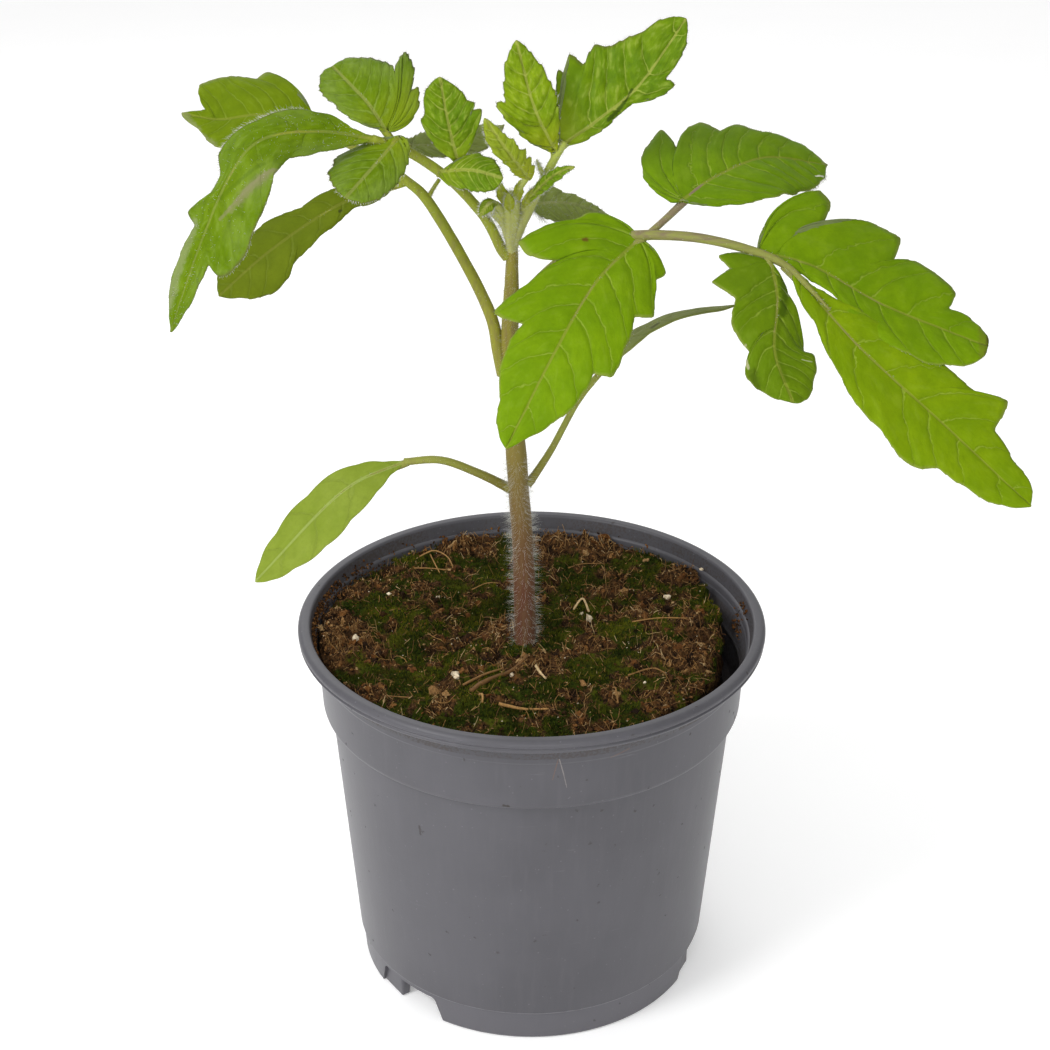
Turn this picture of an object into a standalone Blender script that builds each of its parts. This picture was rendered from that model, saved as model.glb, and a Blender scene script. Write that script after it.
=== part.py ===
"""A young tomato plant in a round nursery pot, for Blender 4.5.

The pot, the soil, the main stem with its shoot tip, two seed leaves and five
compound leaves are separate solids. Sizes below are millimetres from the pot's
axis at the standing plane; mm() turns them into metres.
"""

import math

import bmesh
import bpy
import numpy as np
from mathutils import Matrix

# ---------------------------------------------------------------- dimensions
AXIS_FROM_ORIGIN = (-15.7, 0.0)  # the pot's axis, so that the whole box is centred
SECTORS = 48  # facets round the pot and the soil

RIM_RADIUS = 60.0
RIM_TOP = 100.4
RIM_LIP_WIDTH = 3.4
RIM_LIP_HEIGHT = 3.0
COLLAR_RADIUS = 55.5
COLLAR_FOOT = 77.6
WALL_TOP_RADIUS = 52.2
WALL_FOOT_RADIUS = 47.0
WALL_FOOT = 8.8
FOOT_RADIUS = 45.8
FOOT_RING_THICKNESS = 1.6
WALL = 1.3
FLOOR_UNDERSIDE = 7.4
FLOOR_TOP = 8.8

NOTCH_ANGLES = (-45.0, 75.0, 195.0)  # from the front, towards +X
NOTCH_WIDTH = 18.4
NOTCH_HEIGHT = 7.0
NOTCH_DEPTH = 5.6  # cut through the foot ring from its outer to its inner side
RIB_ANGLE_FROM_NOTCH = -10.3  # the stacking rib stands behind one end of the notch
RIB_SIZE = (10.0, 2.2, 7.8)
RIB_RADIUS = 43.4
DRAIN_HOLES = 6
DRAIN_HOLE_RADIUS = 3.5
DRAIN_CIRCLE = 29.0

CLEARANCE = 0.35  # between solids that touch
SOIL_TOP = 95.0
SOIL_RELIEF = 1.3
SHRUNK_SIDE = 4.4  # the root ball stands this far off the collar on one side
SHRUNK_ANGLE = -12.0  # middle of that side, from +X towards +Y
SHRUNK_SPREAD = 46.0

BLADE_THICKNESS = 0.6
VEIN_SLANT = 0.8  # side veins run forward: rows across a blade follow them

STEM_IN_SOIL = 26.0
# The stem's line starts at the foot of its hole in the soil.
STEM_PATH = [
    (-1.6, -6, SOIL_TOP - STEM_IN_SOIL),
    (-1.7, -6, 94),
    (-2.1, -6, 119),
    (-3.2, -6, 136),
    (-4.0, -6, 148),
    (-5.0, -6, 163),
    (-5.6, -6, 176),
    (-5.2, -6, 190),
    (-5.0, -6, 206),
]
STEM_RADII = [2.6, 3.3, 3.1, 3.0, 2.85, 2.7, 2.55, 2.4, 2.6]


def mm(values):
    """Millimetres to metres."""
    return tuple(float(v) * 0.001 for v in values)


# ---------------------------------------------------------------- scene helpers
for old in list(bpy.data.objects):
    bpy.data.objects.remove(old, do_unlink=True)

parts = bpy.data.collections.new("tomato_plant_in_pot")
tools = bpy.data.collections.new("cutters")
for made in (parts, tools):
    bpy.context.scene.collection.children.link(made)


def material(name, colour, roughness):
    made = bpy.data.materials.new(name)
    made.use_nodes = True
    shader = made.node_tree.nodes["Principled BSDF"]
    shader.inputs["Base Color"].default_value = (*colour, 1.0)
    shader.inputs["Roughness"].default_value = roughness
    shader.inputs["Metallic"].default_value = 0.0
    return made


def put(name, mesh, collection):
    made = bpy.data.objects.new(name, mesh)
    collection.objects.link(made)
    return made


def settle(obj, weld=1e-6):
    """Replace an object's mesh by what its modifiers make of it."""
    graph = bpy.context.evaluated_depsgraph_get()
    mesh = bpy.data.meshes.new_from_object(obj.evaluated_get(graph))
    obj.modifiers.clear()
    obj.data = mesh
    work = bmesh.new()
    work.from_mesh(mesh)
    bmesh.ops.remove_doubles(work, verts=work.verts, dist=weld)
    bmesh.ops.triangulate(work, faces=work.faces)
    work.to_mesh(mesh)
    work.free()
    return obj


def combine(obj, others, operation, solver="EXACT"):
    """One Boolean between an object and a list of others, which are then removed."""
    for other in others:
        for holder in list(other.users_collection):
            holder.objects.unlink(other)
        tools.objects.link(other)
    cut = obj.modifiers.new(operation.lower(), "BOOLEAN")
    cut.operation = operation
    cut.operand_type = "COLLECTION"
    cut.collection = tools
    cut.solver = solver
    settle(obj)
    for other in others:
        bpy.data.objects.remove(other, do_unlink=True)
    return obj


def finish(obj, colour, roughness, smooth_angle=40.0):
    obj.data.materials.clear()
    obj.data.materials.append(material(obj.name, colour, roughness))
    obj.data.shade_smooth()
    obj.data.set_sharp_from_angle(angle=math.radians(smooth_angle))
    return obj


# ---------------------------------------------------------------- curves
def curve_through(points, spans=8):
    """A smooth line through the points, as an array of closely spaced points."""
    knots = np.array(points, float)
    knots = np.vstack([2 * knots[0] - knots[1], knots, 2 * knots[-1] - knots[-2]])
    line = []
    for a, b, c, d in zip(knots, knots[1:], knots[2:], knots[3:]):
        for t in np.arange(spans) / spans:
            linear = (c - a) * t
            square = (2 * a - 5 * b + 4 * c - d) * t**2
            cube = (3 * b - a - 3 * c + d) * t**3
            line.append(0.5 * (2 * b + linear + square + cube))
    line.append(knots[-2])
    return np.array(line)


def stalk(name, points, radii, spans=2, sides=8):
    """A round stalk through the points, as a closed mesh with a radius at each point."""
    line = curve_through(points, spans)
    thick = np.interp(np.arange(len(line)) / spans, np.arange(len(radii)), radii)
    curve = bpy.data.curves.new(name, "CURVE")
    curve.dimensions = "3D"
    curve.bevel_depth = 0.001
    curve.bevel_resolution = sides // 2 - 2
    curve.use_fill_caps = True
    spline = curve.splines.new("POLY")
    spline.points.add(len(line) - 1)
    for point, place, radius in zip(spline.points, line, thick):
        point.co = (*mm(place), 1.0)
        point.radius = radius
    obj = put(name, curve, parts)
    graph = bpy.context.evaluated_depsgraph_get()
    mesh = bpy.data.meshes.new_from_object(obj.evaluated_get(graph))
    bpy.data.objects.remove(obj, do_unlink=True)
    return settle(put(name, mesh, parts))


# ---------------------------------------------------------------- leaf blades
class Blade:
    """A leaf blade hung on its midrib.

    The midrib is a smooth line through path. facing is roughly where the upper
    side looks. An outline point is (along, out): the distance along the midrib
    and the distance out from it, both as a share of the midrib's length. fold
    lifts both halves like an open book, droop bends their edges down.
    """

    def __init__(self, path, facing, left, right, fold=0.1, droop=0.3):
        self.line = curve_through(path, 12)
        steps = np.linalg.norm(np.diff(self.line, axis=0), axis=1)
        self.run = np.concatenate([[0.0], np.cumsum(steps)])
        self.length = self.run[-1]
        self.facing = np.array(facing, float)
        self.sides = {-1: left, 1: right}
        self.fold = fold
        self.droop = droop

    def midrib(self, along):
        reach = np.clip(along, 0.0, 1.0) * self.length
        return np.array([np.interp(reach, self.run, self.line[:, k]) for k in range(3)])

    def place(self, along, out):
        """The point of the sheet at a share along the midrib and a signed share out."""
        inside = min(max(along, 0.0), 1.0)
        ahead = self.midrib(inside + 0.02)
        behind = self.midrib(inside - 0.02)
        forward = (ahead - behind) / np.linalg.norm(ahead - behind)
        across = np.cross(forward, self.facing)
        across /= np.linalg.norm(across)
        upward = np.cross(across, forward)
        reach = out * self.length
        lift = self.fold * abs(reach) - self.droop * reach**2 / self.length
        beyond = forward * (along - inside) * self.length
        return self.midrib(inside) + beyond + across * reach + upward * lift


def zip_rows(work, inner, outer, inner_at, outer_at):
    """Fill between two chains of vertices with triangles, advancing by position."""
    i, j = 0, 0
    while i < len(inner) - 1 or j < len(outer) - 1:
        if i == len(inner) - 1:
            step_inner = False
        elif j == len(outer) - 1:
            step_inner = True
        else:
            step_inner = inner_at[i + 1] <= outer_at[j + 1]
        third = inner[i + 1] if step_inner else outer[j + 1]
        corners = (inner[i], outer[j], third)
        if len(set(corners)) == 3:
            work.faces.new(corners)
        i, j = (i + 1, j) if step_inner else (i, j + 1)


def leaf_sheet(name, blade, ribs=7, middle=True):
    """A lobed blade as a triangulated sheet, given its thickness by Solidify."""
    work = bmesh.new()
    shares = np.linspace(0.0, 1.0, ribs)
    spine = [work.verts.new(mm(blade.place(s, 0.0))) for s in shares]
    for side, outline in blade.sides.items():
        rows = [max(0.0, along - VEIN_SLANT * out) for along, out in outline]
        rows = list(np.minimum(np.maximum.accumulate(rows), 1.0))
        rows = [0.0, *rows, 1.0]
        edge = [spine[0]]
        half = [spine[0]]
        for (along, out), root in zip(outline, rows[1:-1]):
            edge.append(work.verts.new(mm(blade.place(along, side * out))))
            between = blade.place((along + root) / 2, side * out / 2)
            half.append(work.verts.new(mm(between)) if middle else None)
        edge.append(spine[-1])
        half.append(spine[-1])
        if middle:
            zip_rows(work, spine, half, shares, rows)
            for k in range(len(edge) - 1):
                quad = [half[k], edge[k], edge[k + 1], half[k + 1]]
                quad = list(dict.fromkeys(quad))
                if len(quad) > 2:
                    work.faces.new(quad)
        else:
            zip_rows(work, spine, edge, shares, rows)
    bmesh.ops.triangulate(work, faces=work.faces)
    bmesh.ops.recalc_face_normals(work, faces=work.faces)
    mesh = bpy.data.meshes.new(name)
    work.to_mesh(mesh)
    work.free()
    sheet = put(name, mesh, parts)
    solid = sheet.modifiers.new("thickness", "SOLIDIFY")
    solid.thickness = BLADE_THICKNESS * 0.001
    solid.offset = 0.0
    solid.use_even_offset = False
    return settle(sheet)


def midrib_stalk(name, blade, lead, radius, reach=0.55):
    """The stalk of a leaflet, from where it branches off to where its rib fades."""
    shares = np.linspace(0.06, reach, 4)
    points = [*lead, *[blade.place(s, 0.0) for s in shares]]
    fading = list(np.linspace(radius, 0.42, len(points)))
    return stalk(name, points, fading, spans=1, sides=6)


def compound_leaf(name, stalk_points, stalk_radii, leaflets, extra=()):
    """A leaf: its stalk, and the leaflets and stubs that grow from it, in one solid."""
    body = stalk(name, stalk_points, stalk_radii)
    pieces = []
    for number, (blade, lead, radius) in enumerate(leaflets):
        small = blade.length < 30.0
        label = f"{name}_{number}"
        ribs = 5 if small else 8
        pieces.append(leaf_sheet(label, blade, ribs=ribs, middle=not small))
        pieces.append(midrib_stalk(label + "_rib", blade, lead, radius))
    for number, (points, radii) in enumerate(extra):
        pieces.append(stalk(f"{name}_stub_{number}", points, radii, spans=1, sides=6))
    # EXACT leaves edges shared by four faces where many thin sheets meet.
    return combine(body, pieces, "UNION", solver="MANIFOLD")


# ---------------------------------------------------------------- pot
def around(angle, radius):
    """A point round the pot's axis; the angle runs from the front towards +X."""
    turn = math.radians(angle)
    return radius * math.sin(turn), -radius * math.cos(turn)


def block(name, size, place, turn):
    """A box standing square to the pot's wall."""
    bpy.ops.mesh.primitive_cube_add(size=1.0)
    obj = bpy.context.object
    obj.name = name
    corner = Matrix.Diagonal((*mm(size), 1.0))
    stand = Matrix.Translation(mm(place)) @ Matrix.Rotation(math.radians(turn), 4, "Z")
    obj.data.transform(stand @ corner)
    return obj


def peg(name, radius, low, high, place, sides):
    """An upright round peg."""
    depth = (high - low) * 0.001
    bpy.ops.mesh.primitive_cylinder_add(vertices=sides, radius=radius * 0.001, depth=depth)
    obj = bpy.context.object
    obj.name = name
    obj.data.transform(obj.matrix_world)
    shift = mm((place[0], place[1], (low + high) / 2))
    for vertex in obj.data.vertices:
        vertex.co.x += shift[0]
        vertex.co.y += shift[1]
        vertex.co.z += shift[2]
    return obj


def turned(name, profile):
    """A profile of (radius, height) points turned round the pot's axis."""
    mesh = bpy.data.meshes.new(name)
    points = [mm((radius, 0.0, height)) for radius, height in profile]
    mesh.from_pydata(points, [(k, k + 1) for k in range(len(points) - 1)], [])
    obj = put(name, mesh, parts)
    screw = obj.modifiers.new("turn", "SCREW")
    screw.axis = "Z"
    screw.angle = math.tau
    screw.steps = SECTORS
    screw.render_steps = SECTORS
    screw.use_merge_vertices = True
    screw.merge_threshold = 0.00001
    return settle(obj)


INNER_FOOT_RADIUS = WALL_FOOT_RADIUS - WALL
INNER_STEP_LOW = (WALL_TOP_RADIUS - WALL, COLLAR_FOOT - 0.6)
INNER_STEP_HIGH = (COLLAR_RADIUS - 1.1 - WALL, COLLAR_FOOT + 1.5)
INNER_COLLAR_RADIUS = COLLAR_RADIUS - WALL
UNDER_RIM = RIM_TOP - RIM_LIP_HEIGHT

pot_profile = [
    (0.0, FLOOR_TOP),
    (INNER_FOOT_RADIUS - 1.0, FLOOR_TOP),
    (INNER_FOOT_RADIUS, FLOOR_TOP + 1.0),
    INNER_STEP_LOW,
    INNER_STEP_HIGH,
    (INNER_COLLAR_RADIUS, UNDER_RIM - 1.0),
    (RIM_RADIUS - RIM_LIP_WIDTH - 0.9, RIM_TOP - 1.8),
    (RIM_RADIUS - RIM_LIP_WIDTH, RIM_TOP - 0.7),
    (RIM_RADIUS - RIM_LIP_WIDTH + 0.9, RIM_TOP - 0.1),
    (RIM_RADIUS - 1.0, RIM_TOP),
    (RIM_RADIUS - 0.2, RIM_TOP - 0.5),
    (RIM_RADIUS, RIM_TOP - 1.2),
    (RIM_RADIUS, UNDER_RIM + 0.5),
    (RIM_RADIUS - 0.6, UNDER_RIM),
    (COLLAR_RADIUS + 0.9, UNDER_RIM - 0.5),
    (COLLAR_RADIUS, UNDER_RIM - 1.4),
    (COLLAR_RADIUS - 1.1, COLLAR_FOOT + 0.6),
    (COLLAR_RADIUS - 1.5, COLLAR_FOOT),
    (WALL_TOP_RADIUS + 0.2, COLLAR_FOOT - 0.6),
    (WALL_TOP_RADIUS, COLLAR_FOOT - 1.6),
    (WALL_FOOT_RADIUS, WALL_FOOT),
    (FOOT_RADIUS + 0.5, WALL_FOOT - 0.4),
    (FOOT_RADIUS, 0.0),
    (FOOT_RADIUS - FOOT_RING_THICKNESS, 0.0),
    (FOOT_RADIUS - FOOT_RING_THICKNESS + 0.3, FLOOR_UNDERSIDE),
    (0.0, FLOOR_UNDERSIDE),
]
pot = turned("pot", pot_profile)

cuts = []
for angle in NOTCH_ANGLES:
    x, y = around(angle, FOOT_RADIUS - 0.4)
    size = (NOTCH_WIDTH, NOTCH_DEPTH, NOTCH_HEIGHT + 1.0)
    cuts.append(block("notch", size, (x, y, NOTCH_HEIGHT / 2 - 0.5), angle))
for number in range(DRAIN_HOLES):
    place = around(360.0 * (number + 0.5) / DRAIN_HOLES, DRAIN_CIRCLE)
    low, high = FLOOR_UNDERSIDE - 1.0, FLOOR_TOP + 1.0
    cuts.append(peg("drain_hole", DRAIN_HOLE_RADIUS, low, high, place, 12))
combine(pot, cuts, "DIFFERENCE")

ribs = []
for angle in NOTCH_ANGLES:
    x, y = around(angle + RIB_ANGLE_FROM_NOTCH, RIB_RADIUS)
    place = (x, y, RIB_SIZE[2] / 2)
    ribs.append(block("rib", RIB_SIZE, place, angle + RIB_ANGLE_FROM_NOTCH))
combine(pot, ribs, "UNION")
finish(pot, (0.135, 0.135, 0.142), 0.42)


# ---------------------------------------------------------------- soil
def shrinkage(angle):
    """How far the root ball stands off the collar at an angle from +X."""
    off = abs((angle - SHRUNK_ANGLE + 180.0) % 360.0 - 180.0)
    if off >= SHRUNK_SPREAD:
        return 0.0
    return SHRUNK_SIDE * math.cos(math.pi / 2 * off / SHRUNK_SPREAD) ** 0.6


def soil_height(x, y):
    """Clods and hollows over the surface, and a mound where the stem comes out."""
    clods = math.sin(x / 6.1 + 0.7) * math.cos(y / 7.3 - 0.4)
    crumbs = 0.45 * math.sin(x / 2.9 - y / 4.3) * math.cos(y / 3.1 + x / 5.7)
    mound = 0.9 * math.exp(-((x + 1.6) ** 2 + (y + 6.0) ** 2) / 120.0)
    return SOIL_TOP + SOIL_RELIEF * (clods + crumbs) * 0.6 + mound


def soil_solid():
    """The root ball: rings of points up its side and in over its top."""
    gap = CLEARANCE
    side = [
        (INNER_FOOT_RADIUS - 1.0 - gap, FLOOR_TOP + gap),
        (INNER_FOOT_RADIUS - gap, FLOOR_TOP + 1.0 + gap),
        (INNER_STEP_LOW[0] - gap, INNER_STEP_LOW[1]),
        (INNER_STEP_HIGH[0] - gap, INNER_STEP_HIGH[1] + 0.4),
    ]
    low, high = INNER_STEP_HIGH, (INNER_COLLAR_RADIUS, UNDER_RIM - 1.0)
    work = bmesh.new()
    rings = []
    turns = [360.0 * k / SECTORS for k in range(SECTORS)]

    def wall_radius(height):
        share = (height - low[1]) / (high[1] - low[1])
        return low[0] + share * (high[0] - low[0]) - gap

    for level, (radius, height) in enumerate(side):
        ring = []
        for turn in turns:
            a = math.radians(turn)
            r = radius - (shrinkage(turn) * 0.8 if level == 3 else 0.0)
            ring.append(work.verts.new(mm((r * math.cos(a), r * math.sin(a), height))))
        rings.append(ring)
    for share in (1.0, 0.93, 0.8, 0.64, 0.46, 0.26):
        ring = []
        for turn in turns:
            a = math.radians(turn)
            r = (wall_radius(90.0) - shrinkage(turn)) * share
            x, y = r * math.cos(a), r * math.sin(a)
            height = soil_height(x, y) - (1.4 if share == 1.0 else 0.0)
            ring.append(work.verts.new(mm((x, y, height))))
        rings.append(ring)
    for lower, upper in zip(rings, rings[1:]):
        for k in range(SECTORS):
            n = (k + 1) % SECTORS
            work.faces.new((lower[k], lower[n], upper[n], upper[k]))
    centre = work.verts.new(mm((0.0, 0.0, soil_height(0.0, 0.0))))
    for k in range(SECTORS):
        work.faces.new((rings[-1][k], rings[-1][(k + 1) % SECTORS], centre))
    work.faces.new(list(reversed(rings[0])))
    bmesh.ops.triangulate(work, faces=work.faces)
    mesh = bpy.data.meshes.new("soil")
    work.to_mesh(mesh)
    work.free()
    return put("soil", mesh, parts)


soil = soil_solid()
stem_foot = STEM_PATH[0]
bore = STEM_RADII[1] + CLEARANCE + 0.15
hole = peg("stem_hole", bore, stem_foot[2] - CLEARANCE, SOIL_TOP + 6.0, stem_foot, 16)
combine(soil, [hole], "DIFFERENCE")
finish(soil, (0.032, 0.026, 0.014), 0.95, smooth_angle=60.0)

# ---------------------------------------------------------------- stem and tip
main_stem = stalk("main_stem", STEM_PATH, STEM_RADII, spans=2, sides=10)
finish(main_stem, (0.20, 0.14, 0.07), 0.6)

first_tip_leaf = Blade(
    path=[(-1, -12, 220), (-6, -16, 228), (-11, -15, 235)],
    facing=(-0.1, -0.85, 0.5),
    left=[(0.23, 0.10), (0.5, 0.11), (0.65, 0.18), (0.85, 0.11)],
    right=[(0.18, 0.13), (0.45, 0.11), (0.65, 0.08), (0.86, 0.05)],
    fold=0.2,
    droop=0.2,
)
tip_bud = Blade(
    path=[(-8.2, -9, 213.6), (-10.2, -11, 214.2), (-12.2, -12.4, 211.6)],
    facing=(-0.1, -0.7, 0.7),
    left=[(0.3, 0.2), (0.7, 0.22)],
    right=[(0.3, 0.2), (0.7, 0.22)],
    fold=-0.2,
)
shoot_tip = compound_leaf(
    "shoot_tip",
    [(-5, -6, 206.5), (-5, -6.2, 209), (-5.2, -6.8, 212.5), (-4.6, -8, 217.5), (-3.8, -9, 221.5)],
    [2.6, 2.7, 2.9, 2.3, 1.1],
    [
        (first_tip_leaf, [(-4.6, -8, 216), (-2.4, -10.8, 219)], 0.8),
        (tip_bud, [(-5, -7, 211), (-7, -8.2, 213)], 1.0),
    ],
)
finish(shoot_tip, (0.16, 0.24, 0.05), 0.7)

# ---------------------------------------------------------------- seed leaves
cotyledon_left = compound_leaf(
    "cotyledon_left",
    [(-7.4, -6.1, 140.6), (-9.2, -6.7, 141.2), (-13, -9, 145), (-22, -12, 150), (-31, -13, 150)],
    [1.3, 1.2, 1.1, 1.0, 1.0],
    [
        (
            Blade(
                path=[(-31, -13, 150), (-46, -18, 144), (-67, -24, 123)],
                facing=(-0.3, -0.75, 0.6),
                left=[(0.1, 0.04), (0.2, 0.1), (0.4, 0.15), (0.6, 0.155), (0.8, 0.11), (0.93, 0.06)],
                right=[(0.1, 0.04), (0.22, 0.08), (0.5, 0.11), (0.75, 0.095), (0.92, 0.05)],
                fold=0.12,
                droop=0.4,
            ),
            [(-27, -12.7, 150.3)],
            0.9,
        )
    ],
)
finish(cotyledon_left, (0.13, 0.30, 0.02), 0.5)

cotyledon_right = compound_leaf(
    "cotyledon_right",
    [(0.3, -5.2, 142.4), (2.2, -4, 143.4), (5, -1, 148), (12, 5, 158), (18, 11, 164), (20, 12, 166)],
    [1.3, 1.2, 1.1, 1.0, 1.0, 0.9],
    [
        (
            Blade(
                path=[(20, 12, 166), (27, 15, 171), (37, 19, 173), (51, 24, 175)],
                facing=(0.0, 0.3, 0.95),
                left=[(0.08, 0.05), (0.25, 0.14), (0.5, 0.17), (0.75, 0.13), (0.93, 0.06)],
                right=[(0.08, 0.05), (0.25, 0.14), (0.5, 0.17), (0.75, 0.13), (0.93, 0.06)],
                fold=0.5,
                droop=0.4,
            ),
            [(18, 10.5, 164)],
            0.9,
        )
    ],
)
finish(cotyledon_right, (0.12, 0.20, 0.04), 0.5)

# ---------------------------------------------------------------- large right leaf
upper_right = Blade(
    path=[(34, -8, 214), (42, 0, 217), (55, 12, 218), (71, 22, 213)],
    facing=(0.05, -0.5, 0.86),
    left=[
        (-0.05, 0.03),
        (-0.04, 0.18),
        (0.03, 0.27),
        (0.18, 0.36),
        (0.29, 0.4),
        (0.23, 0.24),
        (0.37, 0.32),
        (0.48, 0.34),
        (0.5, 0.23),
        (0.6, 0.26),
        (0.66, 0.18),
        (0.83, 0.15),
        (0.96, 0.08),
    ],
    right=[(0.04, 0.08), (0.17, 0.17), (0.34, 0.23), (0.5, 0.25), (0.68, 0.23), (0.9, 0.12)],
    droop=0.35,
)
front_right = Blade(
    path=[(24, -12, 206), (14, -24, 200), (5, -37, 189), (-6, -48, 170)],
    facing=(-0.05, -0.85, 0.5),
    left=[
        (0.02, 0.1),
        (0.07, 0.17),
        (0.18, 0.21),
        (0.25, 0.25),
        (0.32, 0.19),
        (0.48, 0.22),
        (0.59, 0.23),
        (0.61, 0.16),
        (0.7, 0.16),
        (0.84, 0.11),
        (0.93, 0.05),
    ],
    right=[
        (0.0, 0.1),
        (0.04, 0.18),
        (0.13, 0.22),
        (0.3, 0.33),
        (0.32, 0.25),
        (0.28, 0.16),
        (0.42, 0.21),
        (0.58, 0.27),
        (0.56, 0.15),
        (0.68, 0.16),
        (0.85, 0.1),
        (0.96, 0.05),
    ],
    droop=0.35,
)
side_right = Blade(
    path=[(51, -15, 204), (64, -13, 200), (81, -11, 190), (97, -10, 183), (107, -10, 179)],
    facing=(0.15, -0.62, 0.77),
    left=[
        (0.03, 0.09),
        (0.11, 0.23),
        (0.22, 0.35),
        (0.26, 0.31),
        (0.23, 0.19),
        (0.28, 0.2),
        (0.37, 0.3),
        (0.58, 0.33),
        (0.56, 0.21),
        (0.67, 0.26),
        (0.84, 0.18),
        (0.82, 0.1),
        (0.93, 0.09),
        (1.0, 0.04),
    ],
    right=[(0.07, 0.03), (0.18, 0.04), (0.33, 0.07), (0.51, 0.12), (0.68, 0.16), (0.85, 0.14), (0.99, 0.05)],
    fold=0.08,
)
hanging_right = Blade(
    path=[(54, -16, 202), (55, -24, 196), (54, -33, 187), (58, -38, 177)],
    facing=(0.35, -0.9, 0.25),
    left=[(0.17, 0.09), (0.28, 0.1), (0.4, 0.23), (0.6, 0.27), (0.82, 0.28), (0.94, 0.21), (1.02, 0.1)],
    right=[
        (-0.04, 0.18),
        (-0.06, 0.34),
        (0.1, 0.23),
        (0.12, 0.41),
        (0.33, 0.28),
        (0.52, 0.29),
        (0.65, 0.15),
        (0.74, 0.22),
        (0.88, 0.14),
    ],
    fold=-0.15,
    droop=0.2,
)
end_right = Blade(
    path=[(59, -16, 200), (75, -20, 183), (96, -25, 165), (116, -32, 148)],
    facing=(0.15, -0.72, 0.66),
    left=[
        (0.08, 0.02),
        (0.16, 0.05),
        (0.3, 0.1),
        (0.45, 0.13),
        (0.66, 0.15),
        (0.75, 0.2),
        (0.77, 0.1),
        (0.87, 0.07),
        (0.97, 0.04),
    ],
    right=[
        (0.06, 0.03),
        (0.16, 0.05),
        (0.32, 0.11),
        (0.5, 0.15),
        (0.66, 0.16),
        (0.71, 0.12),
        (0.81, 0.1),
        (0.93, 0.06),
    ],
    droop=0.35,
)
leaf_right = compound_leaf(
    "leaf_right",
    [
        (-2, -6, 190),
        (-0.2, -5.8, 190.8),
        (3, -4.8, 195),
        (7, -4, 198),
        (16, -8, 204),
        (25, -12, 207),
        (38, -14, 207),
        (51, -15, 204),
        (59, -16, 200),
    ],
    [1.7, 1.7, 1.6, 1.6, 1.5, 1.4, 1.3, 1.2, 1.0],
    [
        (upper_right, [(26, -12, 207), (30, -10, 210)], 0.8),
        (front_right, [(26, -11.5, 206.8)], 0.9),
        (side_right, [(49, -15, 204.4)], 0.9),
        (hanging_right, [(53, -15, 203.4)], 0.9),
        (end_right, [(57, -15.8, 201)], 0.9),
    ],
)
finish(leaf_right, (0.12, 0.28, 0.015), 0.5)

# ---------------------------------------------------------------- lower left leaf
far_left = Blade(
    path=[(-50, 18, 222), (-64, 22, 225), (-76, 25, 223), (-85, 27, 224)],
    facing=(-0.05, -0.6, 0.8),
    left=[(0.09, 0.14), (0.33, 0.28), (0.68, 0.23), (0.84, 0.1)],
    right=[
        (0.11, 0.08),
        (0.3, 0.22),
        (0.48, 0.38),
        (0.52, 0.31),
        (0.79, 0.36),
        (0.97, 0.27),
        (0.94, 0.17),
        (0.85, 0.07),
    ],
    droop=0.35,
)
low_left = Blade(
    path=[(-33, 9, 212), (-46, 6, 208), (-62, 3, 198), (-75, 1, 187)],
    facing=(0.15, -0.8, 0.58),
    left=[(0.08, 0.04), (0.22, 0.04), (0.43, 0.08), (0.61, 0.11), (0.71, 0.16), (0.84, 0.14), (0.93, 0.07)],
    right=[(0.07, 0.04), (0.26, 0.08), (0.43, 0.08), (0.68, 0.12), (0.84, 0.11), (0.97, 0.05)],
    fold=0.05,
)
leaf_left_lower = compound_leaf(
    "leaf_left_lower",
    [
        (-8.8, -6, 175),
        (-10.4, -5.4, 176.4),
        (-12.6, -2, 186),
        (-16, 2, 194),
        (-25, 7, 208),
        (-30, 9, 213),
        (-39, 13, 218),
        (-50, 18, 222),
    ],
    [1.8, 1.7, 1.6, 1.6, 1.4, 1.3, 1.1, 0.9],
    [
        (far_left, [(-47, 16.6, 221)], 0.8),
        (low_left, [(-30, 9, 212.6)], 0.8),
    ],
    extra=[([(-25, 7, 208.5), (-23, 8, 211), (-20.6, 9, 212.6)], [0.8, 0.7, 0.6])],
)
finish(leaf_left_lower, (0.12, 0.22, 0.015), 0.45)

# ---------------------------------------------------------------- upper left leaf
arched_left = Blade(
    path=[
        (-36, -14, 230),
        (-47, -19, 233),
        (-59, -25, 233),
        (-66, -29, 226),
        (-74, -31, 209),
        (-81, -32, 191),
    ],
    facing=(-0.35, -0.8, 0.5),
    left=[
        (0.07, 0.03),
        (0.18, 0.06),
        (0.29, 0.08),
        (0.41, 0.12),
        (0.6, 0.15),
        (0.71, 0.14),
        (0.77, 0.1),
        (0.75, 0.05),
        (0.83, 0.04),
        (0.93, 0.02),
    ],
    right=[
        (0.07, 0.02),
        (0.17, 0.06),
        (0.34, 0.06),
        (0.46, 0.07),
        (0.5, 0.03),
        (0.56, 0.03),
        (0.65, 0.08),
        (0.67, 0.04),
        (0.79, 0.05),
        (0.94, 0.03),
    ],
    fold=0.08,
)
round_left = Blade(
    path=[(-33, -12, 231), (-36.6, -12, 237), (-41.2, -7, 240.4), (-45.4, -1, 242.7)],
    facing=(0.05, -0.75, 0.65),
    left=[(0.14, 0.09), (0.27, 0.2), (0.35, 0.24), (0.56, 0.26), (0.77, 0.27), (0.94, 0.19), (1.03, 0.09)],
    right=[
        (-0.05, 0.2),
        (0.0, 0.43),
        (0.06, 0.46),
        (0.16, 0.55),
        (0.19, 0.42),
        (0.23, 0.49),
        (0.71, 0.7),
        (0.47, 0.43),
        (0.61, 0.46),
        (0.75, 0.4),
        (0.9, 0.28),
        (1.01, 0.13),
    ],
)
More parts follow.
